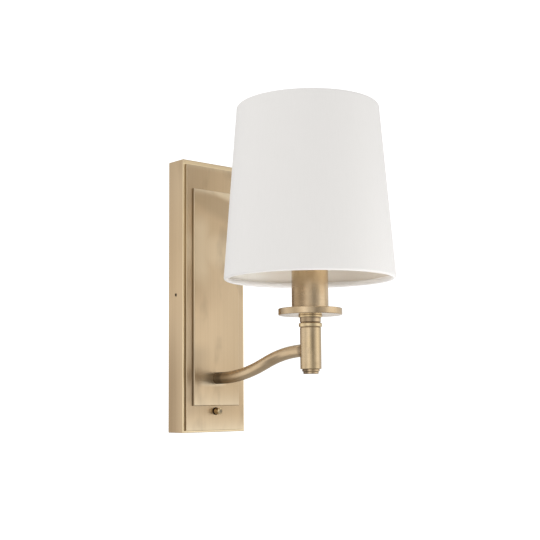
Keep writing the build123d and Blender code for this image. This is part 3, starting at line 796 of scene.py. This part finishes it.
def button_end_dark(tree, clouds):
    """Brown on the flat end of the push button."""
    low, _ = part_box("switch_button")
    x, _, z = parts_of(tree, place_from(tree, middle_of("switch_button")))
    out = diagonal(tree, x, z)
    flat = half_width("switch_button") - button_chamfer
    end = fade(tree, object_xyz(tree)[1], low.y + 0.0001, low.y + 0.0004)
    return times(tree, end, fade(tree, out, flat - 0.0004, flat, 0.8))


def screw_drive_shade(tree, clouds):
    """Painted shade darkens the drive in the head of a side screw."""
    _, y, z = parts_of(tree, place_from(tree, middle_of("side_screws")))
    return remap(tree, diagonal(tree, y, z), screw_drive_radius, screw_drive_radius + 0.0004, 1.0, 0.3)


def facing_up(tree):
    """How far a surface faces up: one on top, nothing at the side, less than nothing underneath."""
    return parts_of(tree, tree.nodes.new("ShaderNodeNewGeometry").outputs["Normal"])[2]


def arm_top_highlight(tree, clouds):
    """A painted highlight makes the arm paler along its upper side."""
    return grow(tree, facing_up(tree), 0.45, 0.8, 0.7)


def arm_shade(tree, clouds):
    """Painted shade where the arm leaves the panel and meets the column, and a painted dark band along
    its lower side.
    """
    y = object_xyz(tree)[1]
    panel_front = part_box("raised_panel")[0].y
    column_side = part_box("column")[1].y
    root = larger(tree, grow(tree, y, panel_front - 0.019, panel_front - 0.009, 0.82),
                  grow(tree, y, panel_front - 0.032, panel_front - 0.014, 0.4))
    spots = remap(tree, clouds, 0.3, 0.6, 0.85, 1.0)
    end = fade(tree, y, column_side, column_side + 0.004, 0.5)
    along = apart(tree, y, column_side + 0.040)
    below = apart(tree, facing_up(tree), -0.3)
    lower_band = times(tree, fade(tree, along, 0.004, 0.020), fade(tree, below, 0.05, 0.42, 0.5))
    return larger(tree, times(tree, root, spots), end, lower_band)


def arm_brass(name, rough):
    """Tube brass with fine spots."""
    scales = ((900, 900, 900), (120, 60, 120), (40, 30, 40))
    return antique_brass(name, object_place, scales, rough, 0.0, arm_shade, arm_top_highlight, arm_highlight_tone,
                         patina_and_shade_black)


def plain_metal(name, colour, dark, rough, scale):
    made, tree = new_material(name)
    place = object_place(tree)
    spots = grain(tree, place, (scale, scale, scale))
    fine = grain(tree, place, (2200, 2200, 2200), detail=1.0)
    tone = blend(tree, grow(tree, spots, 0.4, 0.75), colour, dark)
    polish = remap(tree, spots, 0.3, 0.7, rough - 0.06, rough + 0.08)
    shade_with(tree, Base_Color=tone, Metallic=1.0, Roughness=polish,
               Normal=bump(tree, fine, 0.08, 0.0001))
    return made


def plastic(name, colour, dark, rough):
    made, tree = new_material(name)
    place = object_place(tree)
    spots = grain(tree, place, (60, 60, 60))
    fine = grain(tree, place, (1600, 1600, 1600), detail=1.0)
    tone = blend(tree, grow(tree, spots, 0.35, 0.75), colour, dark)
    shade_with(tree, Base_Color=tone, Roughness=remap(tree, fine, 0.3, 0.7, rough - 0.05, rough + 0.08),
               Normal=bump(tree, fine, 0.15, 0.0001))
    return made


def satin_fabric(name):
    """White satin: close upright threads over fainter cross threads, with slubs; the hems' inner faces
    are painted paler, as light coming through the cloth.
    """
    made, tree = new_material(name)
    place = unrolled(tree, (shade_bottom_radius + shade_top_radius) / 2)
    around, out, height = parts_of(tree, place)
    wall = remap(tree, height, shade_bottom, shade_top, shade_bottom_radius, shade_top_radius, "LINEAR")
    hem_glow = grow(tree, less(tree, wall, out), 0.001, 0.002)
    weft = ripple(tree, height, weft_pitch)
    weave = larger(tree, ripple(tree, around, warp_pitch), times(tree, weft, 0.6))
    slubs = grain(tree, place, (900, 1, 60))
    folds = grain(tree, place, (45, 1, 4), detail=1.0)
    tone = blend(tree, grow(tree, slubs, 0.4, 0.75), satin_white, satin_slub)
    tone = blend(tree, remap(tree, weave, -1.0, 1.0, 0.15, 0.0, "LINEAR"), tone, satin_gap)
    tone = blend(tree, hem_glow, tone, satin_glow)
    rise = plus(tree, times(tree, weave, 0.5), times(tree, slubs, 0.15))
    fine = bump(tree, rise, 0.2, 0.0001)
    broad = add(tree, "ShaderNodeBump", Height=folds, Strength=0.08, Distance=0.002, Normal=fine)
    shade_with(tree, Base_Color=tone, Roughness=remap(tree, slubs, 0.3, 0.7, 0.48, 0.6), Normal=broad,
               Sheen_Weight=0.15, Sheen_Roughness=0.4, Specular_IOR_Level=0.35)
    return made


def cream_lining(name):
    """Cream lining with painted shade that darkens it, apart from its left towards the wall."""
    made, tree = new_material(name)
    place = unrolled(tree, shade_bottom_radius)
    fibres = grain(tree, place, (500, 1, 60))
    clouds = grain(tree, place, (25, 1, 25))
    tone = blend(tree, grow(tree, clouds, 0.35, 0.7), lining_pale, lining_cloud)
    tone = blend(tree, fade(tree, toward_left_back(tree), 0.026, 0.062), tone, lining_shaded)
    tone = blend(tree, grow(tree, fibres, 0.5, 0.8, 0.3), tone, lining_fibre)
    shade_with(tree, Base_Color=tone, Roughness=remap(tree, fibres, 0.3, 0.7, 0.42, 0.55),
               Normal=bump(tree, fibres, 0.15, 0.0001))
    return made


def clear_glass(name):
    made, tree = new_material(name)
    waves = grain(tree, object_place(tree), (70, 70, 30), detail=1.0)
    shade_with(tree, Base_Color=glass_clear, Transmission_Weight=1.0, IOR=1.45,
               Roughness=grow(tree, waves, 0.3, 0.7, 0.03), Normal=bump(tree, waves, 0.05, 0.0004))
    return made


def earth_sleeve(name):
    """Yellow and green sleeve: the stripe follows the length of the lead."""
    made, tree = new_material(name)
    place = object_place(tree)
    x, _, z = parts_of(tree, place)
    along = plus(tree, x, times(tree, z, 0.1))
    stripe = grow(tree, ripple(tree, along, stripe_pitch), -0.2, 0.2)
    tone = blend(tree, stripe, sleeve_yellow, sleeve_green)
    fine = grain(tree, place, (900, 900, 900))
    shade_with(tree, Base_Color=tone, Roughness=remap(tree, fine, 0.3, 0.7, 0.38, 0.5),
               Normal=bump(tree, fine, 0.12, 0.0001))
    return made


# How each finish is made
finish_makers = {
    "box_brass": (plate_brass, box_brown_and_shade, box_wear_and_highlight, wear_and_highlight_rim, patina_and_shade_warm),
    "plate_brass": (plate_brass, face_plate_patina_and_shade, face_plate_wear_and_highlight, wear_and_highlight_pale, patina_and_shade_black),
    "panel_brass": (plate_brass, panel_patina_and_shade, panel_wear_and_highlight, wear_and_highlight_pale, patina_and_shade_black),
    "column_brass": (turned_brass, 0.22, column_smudge_and_shade, column_wear),
    "finial_brass": (turned_brass, 0.16, finial_shade),
    "grooved_brass": (turned_brass, 0.16, groove_patina_and_shade, crown_wear),
    "pan_brass": (turned_brass, 0.16, pan_shade),
    "candle_brass": (turned_brass, 0.18, candle_shade, candle_highlight, patina_and_shade_warm),
    "button_brass": (turned_brass, 0.2, button_end_dark, button_highlight, patina_and_shade_black),
    "arm_brass": (arm_brass, 0.36),
    "screw_brass": (turned_brass, 0.4, screw_drive_shade, None, drive_dark),
    "raw_brass": (plain_metal, (0.78, 0.58, 0.26, 1), (0.60, 0.42, 0.18, 1), 0.28, 120),
    "zinc_steel": (plain_metal, (0.60, 0.61, 0.63, 1), (0.42, 0.43, 0.45, 1), 0.34, 90),
    "nickel": (plain_metal, (0.72, 0.70, 0.66, 1), (0.58, 0.56, 0.53, 1), 0.22, 110),
    "white_coat": (plastic, (0.80, 0.80, 0.78, 1), (0.74, 0.74, 0.72, 1), 0.38),
    "satin_fabric": (satin_fabric,),
    "cream_lining": (cream_lining,),
    "black_plastic": (plastic, (0.018, 0.018, 0.019, 1), (0.030, 0.030, 0.031, 1), 0.42),
    "dark_bush": (plain_metal, (0.075, 0.045, 0.024, 1), (0.040, 0.024, 0.014, 1), 0.42, 300),
    "ivory_plastic": (plastic, (0.74, 0.71, 0.62, 1), (0.68, 0.65, 0.55, 1), 0.40),
    "clear_glass": (clear_glass,),
    "filament": (plastic, (0.80, 0.52, 0.10, 1), (0.72, 0.44, 0.08, 1), 0.5),
    "blue_sleeve": (plastic, (0.025, 0.085, 0.33, 1), (0.02, 0.065, 0.26, 1), 0.42),
    "brown_sleeve": (plastic, (0.085, 0.034, 0.016, 1), (0.065, 0.026, 0.012, 1), 0.42),
    "earth_sleeve": (earth_sleeve,),
}
finish = {name: make(name, *details) for name, (make, *details) in finish_makers.items()}

# The finish that each carried-over node gets
kept_nodes = {
    "screw_brass": ["side_screws"],
    "raw_brass": ["arm_nipple", "stem_nipple", "terminal_poles", "holder_shell", "holder_contact",
                  "switch_tabs", "earth_tag"],
    "zinc_steel": ["wall_bracket", "earth_screw", "terminal_screws", "block_screw", "panel_studs",
                   "stud_washers", "stud_nuts", "arm_washer", "arm_nut", "stem_nut", "switch_nut"],
    "white_coat": ["shade_frame", "shade_bottom_ring"],
    "black_plastic": ["holder_cap", "holder_body", "shade_ring", "switch_housing", "switch_base"],
    "ivory_plastic": ["terminal_block", "switch_plunger"],
    "clear_glass": ["bulb_glass"],
    "nickel": ["bulb_cap"],
    "filament": ["bulb_filaments"],
    "blue_sleeve": ["neutral_lead"],
    "brown_sleeve": ["live_lead", "switched_lead"],
    "earth_sleeve": ["earth_lead"],
}
for finish_name, nodes in kept_nodes.items():
    for node in nodes:
        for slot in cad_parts[node].material_slots:
            slot.material = finish[finish_name]


# Back box and plates

def through_holes(piece, low, high, nodes):
    """Drill the holes that nodes pass through, square to the wall."""
    for node in nodes:
        middle = middle_of(node)
        start = Vector((middle.x, low.y - drill_margin, middle.z))
        end = Vector((middle.x, high.y + drill_margin, middle.z))
        cut_with(piece, rod("drill", start, end, half_width(node) + drill_margin))


def back_box():
    low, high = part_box("back_box")
    box = block("back_box_shell", low, high)
    choose_faces(box, lambda middle, normal: normal.y > 0.5)
    bpy.ops.mesh.delete(type="FACE")
    choose_edges(box, lambda a, b: min(a.y, b.y) < high.y - near_enough)
    bevel_chosen(box_edge_round, 4)
    outward(box)
    thicken(box, box_wall)
    screws_low, screws_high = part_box("side_screws")
    screw_radius = (screws_high.z - screws_low.z) / 2
    middle = middle_of("side_screws")
    reach = Vector((high.x + drill_reach, 0, 0))
    cut_with(box, rod("drill", middle - reach, middle + reach, screw_radius + drill_margin))
    front = Vector((high.x, low.y + box_wall, high.z))
    through_holes(box, low, front, ["arm_nipple", "switch_bush"])
    smooth(box)
    dress(box, "box_brass", "back_plate_brass", "back_box")


def front_plate(name, node, rounding, drilled, brass):
    low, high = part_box(node)
    plate = block(name, low, high)
    choose_faces(plate, lambda middle, normal: normal.y < -0.5)
    bevel_chosen(rounding, 4)
    outward(plate)
    through_holes(plate, low, high, drilled)
    smooth(plate)
    dress(plate, brass, "back_plate_brass", node)


# Arm

def arm():
    low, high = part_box("arm")
    radius = half_width("arm")
    root = Vector((0, high.y, low.z + radius))
    end_height = high.z - radius
    column_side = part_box("column")[1].y
    deselect()
    bpy.ops.mesh.primitive_circle_add(vertices=tube_steps, radius=radius, location=root,
                                      rotation=(math.radians(90), 0, 0))
    tube = take_new("arm_tube")
    edit(tube, "EDGE", "SELECT")
    bend = Vector((0, root.y - arm_lead, root.z + arm_lower_radius))
    level = Vector((0, column_side, end_height - arm_upper_radius))
    square_to_slope = Vector((0, math.sin(arm_slope), math.cos(arm_slope)))
    rise_end = bend - arm_lower_radius * square_to_slope
    level_start = level + arm_upper_radius * square_to_slope
    extrude((0, -arm_lead, 0))
    bpy.ops.mesh.spin(steps=bend_steps, angle=arm_slope, center=bend, axis=(1, 0, 0))
    extrude(level_start - rise_end)
    bpy.ops.mesh.spin(steps=bend_steps, angle=arm_slope, center=level, axis=(-1, 0, 0))
    extrude((0, -arm_seat, 0))
    outward(tube)
    thicken(tube, arm_wall)
    smooth(tube)
    dress(tube, "arm_brass", "turned_brass", "arm")


# Turned pieces

def turned_ring(name, node, outline, rounding, segments, brass, angle=plain_angle, steps=turned_steps):
    """Turn a brass ring, round its edges and let it stand for a node."""
    piece = turned(name, outline, steps)
    join_ends(piece)
    round_edges(piece, rounding, segments)
    smooth(piece, angle)
    dress(piece, brass, "turned_brass", node)


def column():
    low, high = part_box("column")
    radius = half_width("column")
    bore = radius - column_wall
    outline = [(bore, low.z), (radius, low.z), (radius, high.z), (bore, high.z)]
    turned_ring("column_tube", "column", outline, column_edge_round, 3, "column_brass")


def finial():
    low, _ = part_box("finial")
    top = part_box("column")[0].z
    radius = half_width("finial")
    step = low.z + finial_step_height
    outline = [(finial_step_radius, low.z), (finial_step_radius, step), (radius, step), (radius, top)]
    piece = turned("finial_cap", outline)
    close_ends(piece)
    round_edges(piece, finial_edge_round, 4)
    smooth(piece)
    dress(piece, "finial_brass", "turned_brass", "finial")


def bead():
    low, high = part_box("bead_ring")
    crown = half_width("bead_ring")
    under, over = low.z + bead_land, high.z - bead_land
    hole, root = stem_hole_radius, bead_root_radius
    outline = [(hole, low.z), (root, low.z), (root, under), (crown, under), (crown, over), (root, over),
               (root, high.z), (hole, high.z)]
    piece = turned("bead", outline)
    join_ends(piece)
    choose_edges(piece, lambda a, b: min(from_axis(a), from_axis(b)) > crown - near_enough)
    bevel_chosen(bead_edge_round, 5)
    leave_edit()
    smooth(piece, turned_angle)
    dress(piece, "grooved_brass", "turned_brass", "bead_ring")


def collar():
    low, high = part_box("neck_collar")
    flange = half_width("neck_collar")
    foot = low.z + neck_groove
    under = high.z - collar_height
    hole, root = stem_hole_radius, bead_root_radius
    outline = [(hole, low.z), (root, low.z), (root, foot), (neck_radius, foot), (neck_radius, under),
               (flange, under), (flange, high.z), (hole, high.z)]
    turned_ring("collar", "neck_collar", outline, collar_edge_round, 3, "grooved_brass", turned_angle)


def pan():
    low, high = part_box("drip_pan")
    radius = half_width("drip_pan")
    floor = low.z + pan_sheet
    inner = radius - pan_sheet
    outline = [(stem_hole_radius, low.z), (radius, low.z), (radius, high.z), (inner, high.z),
               (inner, floor), (stem_hole_radius, floor)]
    turned_ring("pan", "drip_pan", outline, pan_edge_round, 4, "pan_brass", turned_angle, pan_steps)


def candle():
    low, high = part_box("candle_tube")
    radius = half_width("candle_tube")
    bore = radius - candle_wall
    outline = [(bore, low.z), (radius, low.z), (radius, high.z), (bore, high.z)]
    turned_ring("candle_sleeve", "candle_tube", outline, candle_edge_round, 2, "candle_brass")


# Push button

def button():
    low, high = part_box("switch_button")
    radius = half_width("switch_button")
    length = high.y - low.y
    outline = [(radius, 0), (radius, length - button_chamfer), (radius - button_chamfer, length)]
    piece = turned("push_button", outline, tube_steps, origin)
    close_ends(piece)
    round_edges(piece, button_edge_round, 3)
    point_out(piece, "switch_button")
    dress(piece, "button_brass", "turned_brass", "switch_button", body="button")


def bush():
    low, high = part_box("switch_bush")
    radius = half_width("switch_bush")
    bore = half_width("switch_button") + button_gap
    depth = high.y - low.y
    outline = [(bore, 0), (radius, 0), (radius, depth), (bore, depth)]
    piece = turned("button_bush", outline, tube_steps, origin)
    join_ends(piece)
    round_edges(piece, bush_edge_round, 3)
    point_out(piece, "switch_bush")
    dress(piece, "dark_bush", "dark_bush", "switch_bush")


# Shade

def shade_point(along, inwards):
    """Radius and height of a point so far up the slant and so far in from the outside."""
    radius = shade_bottom_radius - (along * shade_lean + inwards * shade_height) / shade_slant
    height = shade_bottom + (along * shade_height - inwards * shade_lean) / shade_slant
    return radius, height


def hem_outline(at_top):
    """Outside of a hem, from the free end of its flap to where its roll meets the wall."""
    def point(along, inwards):
        return shade_point(shade_slant - along if at_top else along, inwards)

    flap = [point(hem_depth, hem_flap_offset + cover_thickness), point(2 * hem_roll, 2 * hem_roll)]
    roll = []
    for step in range(hem_steps + 1):
        turn = math.pi * step / hem_steps
        roll.append(point(hem_roll - hem_roll * math.sin(turn), hem_roll + hem_roll * math.cos(turn)))
    return flap + roll


def lap_seam(cover):
    """Lift the cloth's end where it laps over itself at the back, from hem to hem."""
    def on_lap(middle, normal):
        past = around_axis(middle) - seam_angle
        outer = shade_bottom_radius - (middle.z - shade_bottom) * shade_lean / shade_height
        return 0 < past < seam_fade and from_axis(middle) > outer - hem_roll / 2

    choose_faces(cover, on_lap)
    bpy.ops.mesh.extrude_region_move()
    leave_edit()
    for point in cover.data.vertices:
        if point.select:
            past = around_axis(point.co) - seam_angle
            share = 1 + seam_step * max(0, 1 - past / seam_fade) / from_axis(point.co)
            point.co.x = light_axis.x + (point.co.x - light_axis.x) * share
            point.co.y = light_axis.y + (point.co.y - light_axis.y) * share
    merge_doubles(cover)
    leave_edit()


def notch_hem(cover):
    """Cut the top hem's flap away where the arms of the wire frame pass."""
    def in_notch(middle, normal):
        out = from_axis(middle)
        in_hem = out < shade_top_radius - hem_roll and middle.z > shade_top - 2 * hem_depth
        near = min(abs(around_axis(middle) - angle) for angle in frame_arm_angles)
        return in_hem and math.radians(near) * out < hem_notch_half

    choose_faces(cover, in_notch)
    bpy.ops.mesh.delete(type="FACE")
    leave_edit()


def wander_hems(cover):
    """Make the free ends of both hems uneven."""
    for at_top, rim in ((False, shade_bottom_radius), (True, shade_top_radius)):
        end_height = hem_outline(at_top)[0][1]
        for point in cover.data.vertices:
            at_end = abs(point.co.z - end_height) < near_enough
            if at_end and from_axis(point.co) < rim - hem_roll:
                point.co.z += hem_wander * noise.noise(point.co * hem_wander_scale)


def shade_cover():
    wall = [shade_point(share * shade_slant, 0) for share in (0.1, 0.3, 0.5, 0.7, 0.9)]
    outline = hem_outline(False) + wall + hem_outline(True)[::-1]
    cover = turned("shade_cloth", outline, steps=shade_steps)
    notch_hem(cover)
    wander_hems(cover)
    outward(cover)
    lap_seam(cover)
    thicken(cover, cover_thickness)
    smooth(cover, cloth_angle)
    dress(cover, "satin_fabric", "shade_fabric", "shade_cover")


def shade_lining():
    outside = cover_thickness + glue_gap
    outline = [shade_point(liner_start + share * (shade_slant - 2 * liner_start), outside)
               for share in (0, 0.25, 0.5, 0.75, 1)]
    lining = turned("shade_lining", outline, steps=shade_steps)
    outward(lining)
    thicken(lining, liner_thickness)
    smooth(lining, cloth_angle)
    dress(lining, "cream_lining", "shade_lining", "shade_liner")


back_box()
front_plate("face_plate_sheet", "face_plate", plate_edge_round, ["arm_nipple", "switch_bush"],
            "plate_brass")
front_plate("raised_panel_sheet", "raised_panel", panel_edge_round, ["arm_nipple"], "panel_brass")
arm()
column()
finial()
bead()
collar()
pan()
candle()
button()
bush()
shade_cover()
shade_lining()


# Camera

def place_camera():
    forward = Vector((math.sin(camera_yaw) * math.cos(camera_pitch),
                      math.cos(camera_yaw) * math.cos(camera_pitch), math.sin(camera_pitch)))
    right = Vector((math.cos(camera_yaw), -math.sin(camera_yaw), 0))
    up = right.cross(forward)
    across = math.cos(camera_roll) * right + math.sin(camera_roll) * up
    upright = math.cos(camera_roll) * up - math.sin(camera_roll) * right
    turn = Matrix((across, upright, -forward)).transposed()
    deselect()
    bpy.ops.object.camera_add(location=camera_place, rotation=turn.to_euler())
    camera = bpy.context.object
    camera.name = "photo_camera"
    camera.data.sensor_width = sensor_width_mm
    camera.data.lens = camera_focal_pixels * sensor_width_mm / picture_side
    bpy.context.scene.camera = camera


# Studio

floor_height = -0.50
floor_size = 12.0
floor_glow = 0.45
floor_front = 0.30
floor_under = 0.48
world_level = 0.81
world_behind = 1.25
room_peak = 1.15
room_above = 0.53
room_above_left = 0.72
room_edge = 0.22
room_overhead = 0.8
room_dark_filled = 0.40
room_behind = 0.72
room_levels = [(-180, 0.50), (-138, 1.0), (-100, 0.68), (-64, 0.97), (-40, 0.60), (-20, 0.30),
               (6, 0.56), (28, 0.94), (46, 1.0), (78, 0.70), (135, 0.52), (180, 0.50)]
paper_white = (0.88, 0.88, 0.88, 1)
unlit = (0, 0, 0, 1)
object_middle = Vector((0, -0.11, 0))
lit_side = Vector((0.60, -0.80, 0))
shade_lamp_size = 0.06
shade_lamp_power = 0.006
glow_lamp_size = 0.05
glow_lamp_power = 0.021
glow_height = 0.045
glow_offset = 0.028

# Place, size and power of the lamps that aim at the middle of the light
room_lamps = {
    "right_lamp": ((0.55, -0.55, -0.22), 0.5, 1.25),
    "under_lamp": ((0.15, -0.42, -0.43), 0.4, 0.95),
    "left_lamp": ((-1.4, -1.0, 0.7), 1.2, 4.2),
    "back_lamp": ((0.7, 0.55, 0.2), 0.6, 1.6),
}


def round_the_room(tree, place):
    """Light that metal sees round the room, by the angle from straight out of the wall."""
    x, y, _ = parts_of(tree, place)
    turn = turn_from_front(tree, x, y)
    ramp = tree.nodes.new("ShaderNodeValToRGB")
    ramp.color_ramp.interpolation = "EASE"
    stops = ramp.color_ramp.elements
    stops.remove(stops[1])
    for number, (angle, level) in enumerate(room_levels):
        stop = stops.new((angle + 180) / 360) if number else stops[0]
        stop.color = (level, level, level, 1)
    seen = feed(tree, ramp, remap(tree, turn, -math.pi, math.pi, kind="LINEAR"))
    return times(tree, seen, room_peak)


def mix_levels(tree, share, first, second):
    return add(tree, "ShaderNodeMix", settings={"data_type": "FLOAT"}, Factor=share, A=first, B=second)


def studio_floor():
    """Pale paper, lifted to white where it is seen; metal sees the room's light in it."""
    deselect()
    bpy.ops.mesh.primitive_plane_add(size=floor_size, location=(0, 0, floor_height))
    ground = take_new("floor")
    made, tree = new_material("floor_paper")
    path = tree.nodes.new("ShaderNodeLightPath")
    mirror = path.outputs["Is Glossy Ray"]
    clear = larger(tree, path.outputs["Is Camera Ray"], path.outputs["Is Transmission Ray"])
    place = object_place(tree)
    x, y, _ = parts_of(tree, place)
    far = diagonal(tree, x, y)
    front = times(tree, fade(tree, far, 0.8, 2.5), fade(tree, y, -0.2, 0.1))
    under = fade(tree, far, 0.35, 0.6)
    behind = grow(tree, plus(tree, x, y), 0.8, 1.9, room_behind * room_peak)
    level = larger(tree, round_the_room(tree, place), behind)
    level = mix_levels(tree, front, level, floor_front)
    level = mix_levels(tree, under, level, floor_under)
    paper = add(tree, "ShaderNodeBsdfDiffuse", Color=blend(tree, mirror, paper_white, unlit))
    lift = plus(tree, times(tree, clear, floor_glow), times(tree, mirror, level))
    glow = add(tree, "ShaderNodeEmission", Strength=lift)
    both = feed(tree, tree.nodes.new("ShaderNodeAddShader"), paper, glow)
    seen_from_below = tree.nodes.new("ShaderNodeNewGeometry").outputs["Backfacing"]
    see_through = add(tree, "ShaderNodeBsdfTransparent")
    surface = feed(tree, tree.nodes.new("ShaderNodeMixShader"), seen_from_below, both, see_through)
    connect(tree, surface, tree.nodes["Material Output"].inputs["Surface"])
    ground.data.materials.append(made)


def studio_world():
    """White to the camera and through glass, soft light on cloth, and the room's levels in metal."""
    world = bpy.context.scene.world or bpy.data.worlds.new("World")
    bpy.context.scene.world = world
    world.use_nodes = True
    world.cycles.sampling_method = "NONE"
    tree = world.node_tree
    direction = tree.nodes.new("ShaderNodeTexCoord").outputs["Generated"]
    right, back, height = parts_of(tree, direction)
    dimmed = remap(tree, right, -0.3, 0.3, room_above_left, room_above)
    edge = remap(tree, height, 0.095, 0.12, 1.0, 1.0 + room_edge)
    above = mix_levels(tree, grow(tree, height, 0.138, 0.165), edge, dimmed)
    filled = grow(tree, height, 0.055, 0.085, room_dark_filled * room_peak)
    mirrored = times(tree, larger(tree, round_the_room(tree, direction), filled), above)
    mirrored = mix_levels(tree, grow(tree, height, 0.3, 0.55), mirrored, room_overhead)
    path = tree.nodes.new("ShaderNodeLightPath")
    clear = larger(tree, path.outputs["Is Camera Ray"], path.outputs["Is Transmission Ray"])
    around = remap(tree, back, -0.2, 0.9, world_level, world_behind)
    lit = mix_levels(tree, path.outputs["Is Glossy Ray"], around, mirrored)
    background = tree.nodes["Background"]
    background.inputs["Color"].default_value = (1, 1, 1, 1)
    connect(tree, larger(tree, lit, clear), background.inputs["Strength"])


def soft_lamp(name, place, aim, size, power):
    deselect()
    turn = (aim - place).to_track_quat("-Z", "Y").to_euler()
    bpy.ops.object.light_add(type="AREA", location=place, rotation=turn)
    lamp = bpy.context.object
    lamp.name = name
    lamp.data.shape = "SQUARE"
    lamp.data.size = size
    lamp.data.energy = power
    lamp.visible_glossy = False
    lamp.visible_camera = False


def shade_lamps():
    """A faint lamp in the shade's top that points down, and one inside that lights its front right."""
    top = light_axis + Vector((0, 0, shade_top))
    soft_lamp("shade_lamp", top, light_axis, shade_lamp_size, shade_lamp_power)
    inside = light_axis + Vector((0, 0, shade_bottom + glow_height))
    glow = inside + glow_offset * lit_side
    soft_lamp("glow_lamp", glow, inside + lit_side, glow_lamp_size, glow_lamp_power)


place_camera()
studio_floor()
studio_world()
for name, (place, size, power) in room_lamps.items():
    soft_lamp(name, Vector(place), object_middle, size, power)
shade_lamps()

bpy.context.scene.view_settings.view_transform = "Standard"
